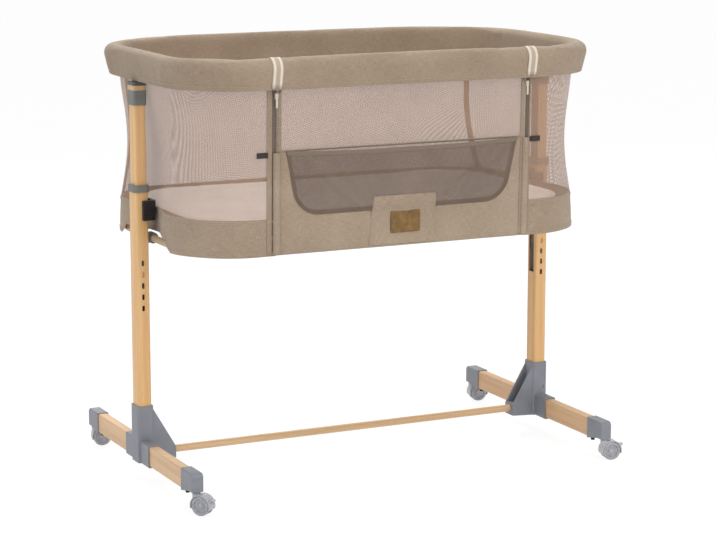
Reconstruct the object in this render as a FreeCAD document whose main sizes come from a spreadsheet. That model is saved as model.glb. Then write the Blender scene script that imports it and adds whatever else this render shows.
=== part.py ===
import FreeCAD, Part
import math
import os

import Sketcher
from FreeCAD import Placement, Rotation, Vector

# Bedside sleeper crib: a padded mesh basket carried between two telescopic posts on a wheeled base.
# X runs along the crib, Y from its front (the side with the drop panel, -Y) to its back, Z is up.
# Everything is laid out about the middle between the posts; the last section moves the origin to
# the middle of the footprint at floor level.

doc = FreeCAD.newDocument("BedsideCrib")
sheet = doc.addObject("Spreadsheet::Sheet", "Size")

SIZES = [
    # posts
    ("post_span", 900, "between the middles of the two posts"),
    ("post_wide", 28, "lower post, along X"),
    ("post_deep", 35, "lower post, along Y"),
    ("post_wall", 2, "lower post wall"),
    ("post_round", 5, "outer corner radius of the lower post"),
    ("post_top", 589, "top of the lower post"),
    ("slide_gap", 0.5, "between mast and lower post, each side"),
    ("mast_wall", 1.8, "mast wall"),
    ("mast_tail", 29, "mast below its index button"),
    ("head_tall", 25, "head block, upright"),
    ("track_wide", 20, "track slot in the inner face of the lower post"),
    ("track_low", 346, "bottom of the track slot"),
    ("track_end", 21, "end of the track slot below the top of the lower post"),
    ("index_wide", 5.6, "width of an index slot"),
    ("index_tall", 11.6, "height of an index slot"),
    ("index_low", 347, "middle of the lowest index slot"),
    ("index_step", 22.5, "between neighbouring index slots"),
    ("index_count", 5, "index slots on each post"),
    ("mouth_wall", 2.5, "wall of the collar on the mouth of the lower post"),
    ("mouth_tall", 14, "height of the mouth collar"),
    ("lip", 2, "thickness of the mouth collar's lip above the post"),
    ("fit", 0.1, "gap of a fixed fit, each side"),
    ("glide", 0.3, "gap of a sliding fit, each side"),
    # feet
    ("rail_wide", 20, "foot rail, along X"),
    ("rail_tall", 40, "foot rail, upright"),
    ("rail_drop", 3, "underside of the foot rail below the end of the neck"),
    ("cap_grip", 12, "foot rail held in an end cap"),
    ("rail_round", 3, "edge radius of the foot rail"),
    ("socket_wall", 2.8, "wall of the moulded socket"),
    ("seat", 3, "floor between the foot rail and the post"),
    ("sleeve_long", 126, "socket sleeve along the foot rail"),
    ("socket_tall", 112, "top of the socket above the foot rail's underside"),
    ("gusset_out", 64, "reach of the gusset from the middle of the post"),
    ("gusset_drop", 8, "start of the gusset below the socket's top"),
    ("gusset_tip", 26, "height of the gusset's tip"),
    ("gusset_wide", 34, "gusset width along Y"),
    ("web", 4, "thickness of the gusset's webs"),
    ("bar_dia", 15, "crossbar diameter"),
    ("bar_rise", 14, "middle of the crossbar above the foot rail's underside"),
    ("bar_grip", 40, "length of crossbar held in a gusset"),
    ("screw_slot", 4, "width of the screw slot in the socket's face"),
    # end caps and casters
    ("cap_start", 234, "inner end of the end caps, from the middle of the crib"),
    ("cap_wall", 2, "wall of the end caps"),
    ("cap_rise", 8, "rise of the cap's underside towards the nose"),
    ("nose_round", 9, "radius at the top of the nose"),
    ("neck_wide", 16, "neck above the caster, along Y and X"),
    ("neck_clear", 0.5, "between the caster's hood and the end cap's neck"),
    ("swivel_out", 283, "swivel axis from the middle of the crib"),
    ("stem_dia", 8, "swivel stem"),
    ("stem_gap", 0.05, "running gap of stems and axles, each side"),
    ("stem_long", 21, "swivel stem above the end of the neck"),
    ("wheel_dia", 38, "caster wheel"),
    ("wheel_wide", 8, "width of each of the twin wheels"),
    ("wheel_gap", 0.3, "between a wheel and the fork's web"),
    ("web_thick", 5.4, "web of the caster fork"),
    ("hood_thick", 1.9, "hood over the wheels"),
    ("hood_gap", 0.6, "between wheel and hood"),
    ("trail", 13, "wheel axle behind the swivel axis"),
    ("axle_dia", 5, "wheel axle"),
    ("turn_front_left", -53, "rest heading of the front left caster"),
    ("turn_front_right", -10, "rest heading of the front right caster"),
    ("turn_back_left", -12, "rest heading of the back left caster"),
    ("turn_back_right", -9, "rest heading of the back right caster"),
    ("pedal_wide", 11, "brake pedal, along the wheel axle"),
    ("pedal_pin", 2.4, "brake pedal trunnion"),
    ("pedal_reach", 40, "tip of the pedal from the swivel axis"),
    ("bumper_dia", 8, "rubber bumper under an end cap"),
    ("bumper_tall", 5, "height of the rubber bumper"),
    # heads, latches and carriers
    ("collar_tall", 20, "grey collar at the top of the mast"),
    ("head_gap", 1, "between the head block and the rim's skirt"),
    ("spigot", 24, "head block's spigot inside the mast"),
    ("neck_in", 7.8, "inner side of the head's neck from the rim tube's middle"),
    ("neck_out", 3.5, "outer side of the head's neck from the rim tube's middle"),
    ("neck_deep", 28, "head's neck along Y"),
    ("latch_gap", 5, "latch block below the end of the track slot"),
    ("lever_tall", 40, "release lever height"),
    ("lever_plate", 6.7, "thickness of the lever in front of the latch block"),
    ("lever_travel", 8, "travel of the release lever"),
    ("lever_front", 4.5, "thickness of the lever's thumb tab"),
    ("block_proud", 6, "latch block standing proud of the lower post's inner face"),
    ("block_wide", 16, "latch block along Y"),
    ("lug_deep", 3.5, "lever's guide lug in the latch block"),
    ("lug_wide", 6, "lever's guide lug along Y"),
    ("lug_tall", 22, "lever's guide lug, upright"),
    ("carrier_wide", 17, "carrier along Y"),
    ("clamp_wall", 4, "wall of the carrier round the base frame"),
    # rim
    ("rim_over", 12, "padded rim beyond the middle of a post"),
    ("rim_deep", 574, "padded rim, along Y"),
    ("rim_corner", 170, "outer corner radius of the rim"),
    ("basket_tall", 378, "from the hem up to the top of the rim"),
    ("rim_tall", 60, "padded rim, upright"),
    ("rim_thick", 36, "width of the padded rim"),
    ("rim_taper", 10, "how far the skirt leans in"),
    ("skirt", 5, "thickness of the outer skirt at its hem"),
    ("lining", 5, "thickness of the rim's inner side"),
    ("pad_top", 8, "padding over the rim's channel"),
    ("tube_dia", 16, "rim frame tube"),
    ("tube_set", 19, "middle of the rim tube inside the rim's outer line"),
    ("tube_clear", 1, "between the rim tube and the roof of the rim's channel"),
    # walls
    ("basket_drop", 114, "bottom hem of the walls below the top of the lower post"),
    ("border_tall", 70, "fabric border, upright"),
    ("wall_in_deep", 36, "walls inside the rim's outer line in front and behind, at the hem"),
    ("wall_lean", 8.3, "how far front and back lean outwards up to the rim"),
    ("wall_in_low", 22, "walls inside the rim's outer line at each end, at the hem"),
    ("wall_in_seam", 26, "the same at the seam"),
    ("wall_in_knee", 36, "the same at the knee"),
    ("knee_rise", 55, "knee of the end walls above the seam, where they turn upright"),
    ("wall_in_waist", 40, "the same at the waist"),
    ("wall_in_high", 34, "the same below the rim"),
    ("wall_in_corner", 35, "how much smaller the walls' corner radius is than the rim's, at the hem"),
    ("mesh_thick", 2, "mesh wall"),
    ("cloth_thick", 3, "fabric border"),
    ("tuck_low", 24, "end wall drawn in round the post, at the hem"),
    ("tuck_top", 0.2, "how far the walls' ends are drawn in inside the rim"),
    ("tuck_high", 8, "end wall drawn in round the post, at the waist"),
    ("hem_notch", 236, "raised hem at the ends, along Y"),
    ("hem_rise", 21, "height of the raised hem"),
    # drop panel
    ("panel_wide", 532, "drop panel, along X"),
    ("zip_gap", 3, "between the drop panel and the side walls"),
    ("pocket_hem", 9, "cloth frame that overlaps the pocket's edge"),
    ("pocket_in", 16, "mouth of the pocket inside the panel's edge"),
    ("pocket_taper", 25, "how far the pocket narrows at each side down to its bottom"),
    ("pocket_tall", 126, "pocket, upright"),
    ("pocket_above", 4, "bottom of the pocket above the seam"),
    ("pocket_corner", 45, "corner radius of the pocket"),
    ("pocket_out", 16, "pocket standing off the panel at its mouth"),
    ("pocket_thin", 3.5, "pocket standing off the panel at its bottom"),
    ("pocket_wall", 1.5, "pocket net"),
    ("tab_wide", 134, "tab along its top"),
    ("tab_foot", 148, "tab along its bottom"),
    ("tab_over", 28, "tab above the bottom of the pocket"),
    ("tab_thick", 2, "tab"),
    ("patch_wide", 64, "bare leather patch"),
    ("patch_tall", 44, "bare leather patch"),
    ("patch_drop", 25, "middle of the patch below the pocket"),
    ("patch_off", 4, "patch to the right of the middle"),
    ("patch_thick", 1.6, "leather"),
    ("tape_wide", 7, "zip tape"),
    ("tape_thick", 0.8, "zip tape"),
    ("slider_wide", 6.5, "zip slider"),
    ("slider_tall", 12, "zip slider"),
    ("slider_thick", 3.4, "zip slider"),
    ("strap_wide", 22, "webbing strap over the rim"),
    ("strap_thick", 1.6, "webbing strap"),
    ("strap_off", 7, "middle of a strap outside the drop panel's edge"),
    # floor of the basket
    ("frame_in", 14.5, "middle of the base frame's tube inside the mast's inner face"),
    ("frame_clear", 0.5, "between the base frame's tube and the border"),
    ("frame_dia", 14, "base frame tube"),
    ("frame_rise", 9, "middle of the base frame's tube above the hem"),
    ("slat_wide", 30, "cross slat"),
    ("slat_tall", 14, "cross slat"),
    ("slat_out", 150, "cross slats from the middle of the crib"),
    ("board_thick", 12, "base board"),
    ("board_in_long", 24, "edge of the base board inside the frame tube's middle, at the ends"),
    ("board_in_deep", 12.5, "edge of the base board inside the frame tube's middle, front and back"),
    ("board_in_corner", 14, "how much smaller the board's corner radius is than the frame's"),
    ("mattress_thick", 28, "mattress"),
    ("mattress_over", 4, "mattress beyond the board, each side"),
    ("mattress_round", 9, "mattress edge radius"),
]


class Dim:
    """A length with its number and the expression that names it in the sheet."""

    def __init__(self, value, text):
        self.value, self.text = float(value), text

    @staticmethod
    def of(other):
        return other if isinstance(other, Dim) else Dim(other, "%.10g" % other)

    def __add__(self, other):
        other = Dim.of(other)
        return Dim(self.value + other.value, "(%s + %s)" % (self.text, other.text))

    def __sub__(self, other):
        other = Dim.of(other)
        return Dim(self.value - other.value, "(%s - %s)" % (self.text, other.text))

    def __mul__(self, other):
        other = Dim.of(other)
        return Dim(self.value * other.value, "(%s * %s)" % (self.text, other.text))

    def __truediv__(self, other):
        other = Dim.of(other)
        return Dim(self.value / other.value, "(%s / %s)" % (self.text, other.text))

    def __rsub__(self, other):
        return Dim.of(other) - self

    def __neg__(self):
        return Dim.of(0) - self

    def __float__(self):
        return self.value

    __radd__ = __add__
    __rmul__ = __mul__


class Sizes:
    pass


S = Sizes()
for row, (name, value, note) in enumerate(SIZES, start=1):
    sheet.set("A%d" % row, name)
    sheet.set("B%d" % row, str(value))
    sheet.set("C%d" % row, note)
    sheet.setAlias("B%d" % row, name)
    setattr(S, name, Dim(value, "Size." + name))
doc.recompute()


# Helpers for sketches and features ---------------------------------------------------------------

def bind(thing, prop, size):
    """Set a property, tied to the sheet where the size comes from there."""
    if isinstance(size, Dim):
        thing.setExpression(prop, size.text)
    else:
        thing.setExpression(prop, "%.10g" % size)


def pin_down(sketch, geo, point, x, y):
    """Fix a point of a sketch at x, y."""
    for kind, size, axis in (("DistanceX", x, -2), ("DistanceY", y, -1)):
        if not isinstance(size, Dim) and size == 0:
            sketch.addConstraint(Sketcher.Constraint("PointOnObject", geo, point, axis))
        else:
            at = sketch.addConstraint(Sketcher.Constraint(kind, -1, 1, geo, point, float(size)))
            sketch.setExpression("Constraints[%d]" % at, Dim.of(size).text)


def lines(sketch, corners):
    """Closed outline of straight lines."""
    flat = [Vector(float(x), float(y), 0) for x, y in corners]
    count = len(flat)
    geo = sketch.addGeometry([Part.LineSegment(flat[i], flat[(i + 1) % count]) for i in range(count)])
    for i in range(count):
        sketch.addConstraint(Sketcher.Constraint("Coincident", geo[i], 2, geo[(i + 1) % count], 1))
    for i, (x, y) in enumerate(corners):
        pin_down(sketch, geo[i], 1, x, y)


def box(x0, y0, x1, y1):
    return lambda sketch: lines(sketch, [(x0, y0), (x1, y0), (x1, y1), (x0, y1)])


def poly(*corners):
    return lambda sketch: lines(sketch, corners)


def ring(x, y, radius):
    def draw(sketch):
        geo = sketch.addGeometry(Part.Circle(Vector(float(x), float(y), 0), Vector(0, 0, 1), float(radius)))
        pin_down(sketch, geo, 3, x, y)
        at = sketch.addConstraint(Sketcher.Constraint("Radius", geo, float(radius)))
        sketch.setExpression("Constraints[%d]" % at, Dim.of(radius).text)
    return draw


def stadium(x, low, high, radius):
    """Upright slot with round ends; low and high are the ends' middles."""
    def draw(sketch):
        cx, r, z0, z1 = float(x), float(radius), float(low), float(high)
        up, axis = Vector(0, 0, 1), Vector(cx, z1, 0)
        top = sketch.addGeometry(Part.ArcOfCircle(Part.Circle(axis, up, r), 0, math.pi))
        left = sketch.addGeometry(Part.LineSegment(Vector(cx - r, z1, 0), Vector(cx - r, z0, 0)))
        low_circle = Part.Circle(Vector(cx, z0, 0), up, r)
        foot = sketch.addGeometry(Part.ArcOfCircle(low_circle, math.pi, 2 * math.pi))
        right = sketch.addGeometry(Part.LineSegment(Vector(cx + r, z0, 0), Vector(cx + r, z1, 0)))
        for a, i, b, j in ((top, 2, left, 1), (left, 2, foot, 1), (foot, 2, right, 1), (right, 2, top, 1)):
            sketch.addConstraint(Sketcher.Constraint("Tangent", a, i, b, j))
        pin_down(sketch, top, 3, x, high)
        pin_down(sketch, foot, 3, x, low)
        at = sketch.addConstraint(Sketcher.Constraint("Radius", top, r))
        sketch.setExpression("Constraints[%d]" % at, Dim.of(radius).text)
    return draw


def piece(name):
    body = doc.addObject("PartDesign::Body", name)
    body.Label = name
    return body


def sketch_on(body, role, offset, draw):
    sketch = body.newObject("Sketcher::SketchObject", body.Label + "_outline")
    plane = [face for face in body.Origin.OriginFeatures if face.Role == role][0]
    sketch.AttachmentSupport = [(plane, "")]
    sketch.MapMode = "FlatFace"
    bind(sketch, "AttachmentOffset.Base.z", offset)
    draw(sketch)
    return sketch


# The XZ plane's normal is -Y, so its low side is the far one.
NORMALS = {"XY_Plane": 1, "XZ_Plane": -1, "YZ_Plane": 1}


def solid(body, role, low, high, draw):
    """Add the outline between two levels along the plane's axis."""
    start = low if NORMALS[role] > 0 else -Dim.of(high)
    sketch = sketch_on(body, role, start, draw)
    pad = body.newObject("PartDesign::Pad", body.Label + "_pad")
    pad.Profile = sketch
    bind(pad, "Length", Dim.of(high) - low)
    doc.recompute()
    if not pad.isValid():
        raise RuntimeError("a pad of %s fails" % body.Label)
    return pad


def hollow(body, role, low, high, draw):
    """Cut the outline between two levels along the plane's axis."""
    before = body.Shape.Volume
    start = low if NORMALS[role] > 0 else -Dim.of(high)
    sketch = sketch_on(body, role, start, draw)
    pocket = body.newObject("PartDesign::Pocket", body.Label + "_pocket")
    pocket.Profile = sketch
    pocket.Reversed = True
    bind(pocket, "Length", Dim.of(high) - low)
    doc.recompute()
    if body.Shape.Volume >= before - 1e-3:
        raise RuntimeError("a pocket of %s cuts nothing" % body.Label)
    return pocket


def turned(body, corners):
    """Revolve an outline drawn on the XZ plane about the Z axis."""
    sketch = sketch_on(body, "XZ_Plane", 0, poly(*corners))
    spin = body.newObject("PartDesign::Revolution", body.Label + "_turn")
    spin.Profile = sketch
    spin.ReferenceAxis = (sketch, ["V_Axis"])
    spin.Angle = 360
    doc.recompute()
    return spin


def soften(body, radius, pick):
    """Fillet the straight edges that pick chooses by their two ends."""
    tip = body.Tip
    names = []
    for i, edge in enumerate(tip.Shape.Edges, start=1):
        if len(edge.Vertexes) == 2 and edge.Curve.TypeId == "Part::GeomLine":
            if pick(edge.Vertexes[0].Point, edge.Vertexes[1].Point):
                names.append("Edge%d" % i)
    if not names:
        raise RuntimeError("no edge of %s to round" % body.Label)
    fillet = body.newObject("PartDesign::Fillet", body.Label + "_round")
    fillet.Base = (tip, names)
    bind(fillet, "Radius", radius)
    doc.recompute()
    if not fillet.isValid():
        raise RuntimeError("the edges of %s don't round" % body.Label)
    return fillet


def upright(a, b):
    return abs(a.x - b.x) < 1e-4 and abs(a.y - b.y) < 1e-4


def along_y(a, b):
    return abs(a.x - b.x) < 1e-4 and abs(a.z - b.z) < 1e-4


def along_x(a, b):
    return abs(a.y - b.y) < 1e-4 and abs(a.z - b.z) < 1e-4


def near(value, size):
    return abs(value - float(size)) < 1e-3


def feature(name, shape):
    """A piece whose form is computed from the sheet's sizes."""
    thing = doc.addObject("Part::Feature", name)
    thing.Label = name
    thing.Shape = shape
    return thing


# Sizes that several pieces share -----------------------------------------------------------------

post_x = S.post_span / 2
bore_wide = S.post_wide - S.post_wall * 2
bore_deep = S.post_deep - S.post_wall * 2
mast_wide = bore_wide - S.slide_gap * 2
mast_deep = bore_deep - S.slide_gap * 2
mast_bore_wide = mast_wide - S.mast_wall * 2
mast_bore_deep = mast_deep - S.mast_wall * 2
mast_inner = post_x - mast_wide / 2
index_high = S.index_low + S.index_step * (S.index_count - 1)
wall_low = S.post_top - S.basket_drop
rim_top = wall_low + S.basket_tall
rim_low = rim_top - S.rim_tall
mast_low = index_high - S.mast_tail
mast_top = rim_low - S.head_gap - S.head_tall
track_high = S.post_top - S.track_end
lever_high = track_high - S.latch_gap - 2 - S.lever_tall / 2
block_inner = post_x - S.post_wide / 2 - S.block_proud
lever_inner = block_inner - S.glide - S.lever_plate

# feet, above the casters
neck_low = S.wheel_dia + S.hood_gap + S.hood_thick + S.neck_clear
rail_low = neck_low - S.rail_drop
rail_top = rail_low + S.rail_tall
rail_long = (S.cap_start + S.cap_grip) * 2
post_low = rail_top + S.seat
bar_high = rail_low + S.bar_rise
socket_top = rail_low + S.socket_tall
stem_top = neck_low + S.stem_long
cap_end = S.swivel_out + S.neck_wide / 2

# rim and walls, then the floor of the basket inside the walls
rim_long = S.post_span + S.rim_over * 2
tube_high = rim_top - S.pad_top - S.tube_clear - S.tube_dia / 2
wall_long_low = rim_long - S.wall_in_low * 2
wall_long_seam = rim_long - S.wall_in_seam * 2
wall_long_knee = rim_long - S.wall_in_knee * 2
wall_long_waist = rim_long - S.wall_in_waist * 2
wall_long_high = rim_long - S.wall_in_high * 2
wall_deep_low = S.rim_deep - S.wall_in_deep * 2
wall_corner = S.rim_corner - S.wall_in_corner
seam_high = wall_low + S.border_tall
knee_high = seam_high + S.knee_rise
frame_x = mast_inner - S.frame_in
frame_long = frame_x * 2
frame_deep = wall_deep_low - (S.cloth_thick + S.frame_clear) * 2 - S.frame_dia
frame_corner = wall_corner - S.cloth_thick - S.frame_clear * 2 - S.frame_dia / 2
frame_high = wall_low + S.frame_rise
board_long = frame_long - S.board_in_long * 2
board_deep = frame_deep - S.board_in_deep * 2
board_corner = frame_corner - S.board_in_corner
slat_low = frame_high + S.frame_dia / 2
board_low = slat_low + S.slat_tall
mattress_low = board_low + S.board_thick

# drop panel
pocket_wide = S.panel_wide - S.pocket_in * 2
pocket_foot = pocket_wide - S.pocket_taper * 2
pocket_low = seam_high + S.pocket_above
pocket_high = pocket_low + S.pocket_tall
panel_top = rim_low - 1
tab_high = pocket_low + S.tab_over
patch_high = pocket_low - S.patch_drop
strap_out = S.panel_wide / 2 + S.strap_off
wheel_r = S.wheel_dia / 2


def mid_box(x, y, wide, deep):
    return box(x - wide / 2, y - deep / 2, x + wide / 2, y + deep / 2)


zero = Dim(0, "0")

# Feet, sockets, posts ----------------------------------------------------------------------------

for side, s in (("left", -1), ("right", 1)):
    px = post_x * s

    rail = piece("foot_rail_" + side)
    solid(rail, "XZ_Plane", -rail_long / 2, rail_long / 2,
          box(px - S.rail_wide / 2, rail_low, px + S.rail_wide / 2, rail_top))
    soften(rail, S.rail_round, along_y)

    post = piece("lower_post_" + side)
    solid(post, "XY_Plane", post_low, S.post_top, mid_box(px, zero, S.post_wide, S.post_deep))
    soften(post, S.post_round, upright)
    hollow(post, "XY_Plane", post_low, S.post_top, mid_box(px, zero, bore_wide, bore_deep))
    wall_in, wall_out = (px - S.post_wide / 2 * s), (px - bore_wide / 2 * s)
    track = (wall_in, wall_out) if s > 0 else (wall_out, wall_in)
    hollow(post, "YZ_Plane", track[0], track[1],
           box(-S.track_wide / 2, S.track_low, S.track_wide / 2, track_high))
    reach = (S.index_tall - S.index_wide) / 2
    slot = hollow(post, "XZ_Plane", -S.post_deep / 2, -bore_deep / 2,
                  stadium(px, S.index_low - reach, S.index_low + reach, S.index_wide / 2))
    slots = post.newObject("PartDesign::LinearPattern", post.Label + "_slots")
    slots.Originals = [slot]
    slots.Direction = (slot.Profile[0], ["V_Axis"])
    bind(slots, "Length", S.index_step * (S.index_count - 1))
    bind(slots, "Occurrences", S.index_count)
    post.Tip = slots
    doc.recompute()

    mouth = piece("mouth_collar_" + side)
    mouth_wide, mouth_deep = S.post_wide + S.mouth_wall * 2, S.post_deep + S.mouth_wall * 2
    mouth_top = S.post_top + S.lip
    solid(mouth, "XY_Plane", mouth_top - S.mouth_tall, mouth_top, mid_box(px, zero, mouth_wide, mouth_deep))
    soften(mouth, S.post_round + S.mouth_wall, upright)
    hollow(mouth, "XY_Plane", mouth_top - S.mouth_tall, S.post_top,
           mid_box(px, zero, S.post_wide + S.fit * 2, S.post_deep + S.fit * 2))
    hollow(mouth, "XY_Plane", S.post_top, mouth_top,
           mid_box(px, zero, mast_wide + S.glide * 2, mast_deep + S.glide * 2))

    socket = piece("socket_" + side)
    sleeve_wide = S.rail_wide + S.socket_wall * 2
    cup_wide, cup_deep = S.post_wide + S.socket_wall * 2, S.post_deep + S.socket_wall * 2
    sleeve_low = rail_low - S.socket_wall
    solid(socket, "XY_Plane", sleeve_low, socket_top, mid_box(px, zero, cup_wide, cup_deep))
    soften(socket, S.post_round, upright)
    solid(socket, "XZ_Plane", -S.sleeve_long / 2, S.sleeve_long / 2,
          box(px - sleeve_wide / 2, sleeve_low, px + sleeve_wide / 2, post_low))
    soften(socket, S.rail_round, lambda a, b: along_y(a, b) and near(max(abs(a.y), abs(b.y)), S.sleeve_long / 2))
    gusset_top = socket_top - S.gusset_drop
    gusset_foot = px - S.gusset_out * s
    cup_in = px - cup_wide / 2 * s
    solid(socket, "XZ_Plane", -S.gusset_wide / 2, S.gusset_wide / 2,
          poly((px, gusset_top), (cup_in, gusset_top), (gusset_foot, sleeve_low + S.gusset_tip),
               (gusset_foot, sleeve_low + S.socket_wall), (cup_in, sleeve_low), (px, sleeve_low)))
    # hollow of the gusset, open along its slope, above the floor that grips the crossbar
    floor = bar_high + S.bar_dia / 2 + S.web
    hollow(socket, "XZ_Plane", -(S.gusset_wide / 2 - S.web), S.gusset_wide / 2 - S.web,
           poly((cup_in, floor), (gusset_foot, floor), (gusset_foot, socket_top), (cup_in, socket_top)))
    hollow(socket, "XY_Plane", post_low, socket_top,
           mid_box(px, zero, S.post_wide + S.fit * 2, S.post_deep + S.fit * 2))
    hollow(socket, "XZ_Plane", -S.sleeve_long / 2, S.sleeve_long / 2,
           box(px - S.rail_wide / 2 - S.fit, rail_low - S.fit, px + S.rail_wide / 2 + S.fit, rail_top))
    grip = (gusset_foot, gusset_foot + S.bar_grip * s)
    grip = grip if s > 0 else (grip[1], grip[0])
    hollow(socket, "YZ_Plane", grip[0], grip[1], ring(zero, bar_high, S.bar_dia / 2 + S.fit))
    # the two sockets are one moulding, so the screw slot is in front on the right, behind on the left
    face = cup_deep / 2 * -s
    face_in = (S.post_deep / 2) * -s
    screw = (face, face_in) if s > 0 else (face_in, face)
    hollow(socket, "XZ_Plane", screw[0], screw[1],
           stadium(px + S.post_wide / 4 * s, post_low + 12, post_low + 17, S.screw_slot / 2))

bar = piece("crossbar")
bar_half = post_x - S.gusset_out + S.bar_grip
solid(bar, "YZ_Plane", -bar_half, bar_half, ring(zero, bar_high, S.bar_dia / 2))

# End caps with the necks that take the casters ---------------------------------------------------

cap_wide = S.rail_wide + S.cap_wall * 2
cap_low, cap_top = rail_low - S.cap_wall, rail_top + S.cap_wall
for end, e in (("front", -1), ("back", 1)):
    for side, s in (("left", -1), ("right", 1)):
        px = post_x * s
        cap = piece("end_cap_%s_%s" % (end, side))
        neck_in = S.swivel_out - S.neck_wide / 2
        solid(cap, "YZ_Plane", px - cap_wide / 2, px + cap_wide / 2,
              poly((S.cap_start * e, cap_low), (S.cap_start * e, cap_top), (cap_end * e, cap_top),
                   (cap_end * e, cap_low + S.cap_rise), (neck_in * e, cap_low + S.cap_rise)))
        soften(cap, S.nose_round, lambda a, b: along_x(a, b) and near(a.z, cap_top)
               and near(abs(a.y), cap_end))
        soften(cap, S.rail_round, lambda a, b: upright(a, b) and near(abs(a.y), cap_end))
        solid(cap, "XY_Plane", neck_low, cap_low + S.cap_rise + S.neck_wide / 2,
              ring(px, S.swivel_out * e, S.neck_wide / 2))
        hollow(cap, "XZ_Plane", min(S.cap_start * e, rail_long / 2 * e, key=float),
               max(S.cap_start * e, rail_long / 2 * e, key=float),
               box(px - S.rail_wide / 2 - S.fit, rail_low - S.fit,
                   px + S.rail_wide / 2 + S.fit, rail_top + S.fit))
        hollow(cap, "XY_Plane", neck_low, stem_top + 1,
               ring(px, S.swivel_out * e, S.stem_dia / 2 + S.stem_gap))

bumpers = None
bumper_y = S.cap_start + S.bumper_dia / 2
bumper_low = cap_low - S.bumper_tall
discs = []
for s in (-1, 1):
    for e in (-1, 1):
        at = Vector(float(post_x) * s, float(bumper_y) * e, float(bumper_low))
        height = float(S.bumper_tall) + float(S.cap_rise) * float(S.bumper_dia) / 2 / float(
            S.swivel_out - S.neck_wide / 2 - S.cap_start)
        discs.append(Part.makeCylinder(float(S.bumper_dia) / 2, height, at))
caps = [thing for thing in doc.Objects if thing.Label.startswith("end_cap_") and thing.TypeId == "PartDesign::Body"]
bumpers = feature("bumpers", Part.makeCompound([disc.cut([cap.Shape for cap in caps]) for disc in discs]))

# Casters, each drawn about its swivel axis with the wheel trailing along +X -----------------------

hood_r = wheel_r + S.hood_gap + S.hood_thick
wheel_in = S.web_thick / 2 + S.wheel_gap
wheel_out = wheel_in + S.wheel_wide
pedal_x = S.trail + hood_r * 0.8 + S.pedal_pin
pedal_z = wheel_r + hood_r * 0.45 + 1
moved = {}

for end, e in (("front", -1), ("back", 1)):
    for side, s in (("left", -1), ("right", 1)):
        name = "%s_%s" % (end, side)
        fork = piece("caster_fork_" + name)
        solid(fork, "XZ_Plane", -wheel_out - 0.4, wheel_out + 0.4, ring(S.trail, wheel_r, hood_r))
        hollow(fork, "XY_Plane", wheel_r - hood_r - 1, wheel_r - 6,
               box(-hood_r, -hood_r, S.trail + hood_r + 1, hood_r))
        solid(fork, "XY_Plane", wheel_r + 8, neck_low - S.glide, ring(zero, zero, S.neck_wide / 2))
        solid(fork, "XY_Plane", wheel_r + 8, stem_top, ring(zero, zero, S.stem_dia / 2))
        if end == "front":
            # ears for the brake pedal's trunnions
            ear_in = S.pedal_wide / 2 + S.glide
            solid(fork, "XZ_Plane", ear_in - 1, ear_in + 2.2,
                  ring(pedal_x, pedal_z, S.pedal_pin * 1.1))
            solid(fork, "XZ_Plane", -ear_in - 2.2, -ear_in + 1,
                  ring(pedal_x, pedal_z, S.pedal_pin * 1.1))
            hollow(fork, "XZ_Plane", -ear_in, ear_in,
                   ring(pedal_x, pedal_z, S.pedal_pin * 1.1 + S.glide * 2))
            hollow(fork, "XZ_Plane", -ear_in - 2.2, ear_in + 2.2,
                   ring(pedal_x, pedal_z, S.pedal_pin / 2 + S.stem_gap))
        for low, high in ((S.web_thick / 2, wheel_out + 1), (-wheel_out - 1, -S.web_thick / 2)):
            hollow(fork, "XZ_Plane", low, high, ring(S.trail, wheel_r, wheel_r + S.hood_gap))
        hollow(fork, "XZ_Plane", -S.web_thick / 2, S.web_thick / 2,
               ring(S.trail, wheel_r, S.axle_dia / 2 + S.stem_gap))

        wheel = piece("caster_wheel_" + name)
        half = [(zero, wheel_in), (wheel_r, wheel_in), (wheel_r, wheel_out - 1.5), (wheel_r - 1.5, wheel_out),
                (wheel_r * 0.74, wheel_out), (wheel_r * 0.68, wheel_out - 2.5), (wheel_r * 0.36, wheel_out - 2.5),
                (wheel_r * 0.30, wheel_out), (zero, wheel_out)]
        outline = [(S.axle_dia / 2, -wheel_in), (S.axle_dia / 2, wheel_in)] + half[1:]
        outline += [(x, -y) for x, y in reversed(half[1:])]
        turned(wheel, outline)
        moved[fork.Name] = (name, s, e, False)
        moved[wheel.Name] = (name, s, e, True)

        if end == "front":
            pedal = piece("brake_pedal_" + side)
            tip = S.pedal_reach
            solid(pedal, "XZ_Plane", -S.pedal_wide / 2, S.pedal_wide / 2, ring(pedal_x, pedal_z, S.pedal_pin))
            solid(pedal, "XZ_Plane", -S.pedal_wide / 2, S.pedal_wide / 2,
                  poly((pedal_x, pedal_z + S.pedal_pin * 0.9), (tip, pedal_z + S.pedal_pin * 0.9),
                       (tip, pedal_z - 0.2), (pedal_x, pedal_z - S.pedal_pin * 0.4)))
            soften(pedal, 3, lambda a, b: upright(a, b) and near(a.x, tip))
            solid(pedal, "XZ_Plane", -S.pedal_wide / 2 - S.glide - 2, S.pedal_wide / 2 + S.glide + 2,
                  ring(pedal_x, pedal_z, S.pedal_pin / 2))
            moved[pedal.Name] = (name, s, e, False)

# What slides in the posts: masts, collars, heads, latches and carriers -----------------------------

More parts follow.
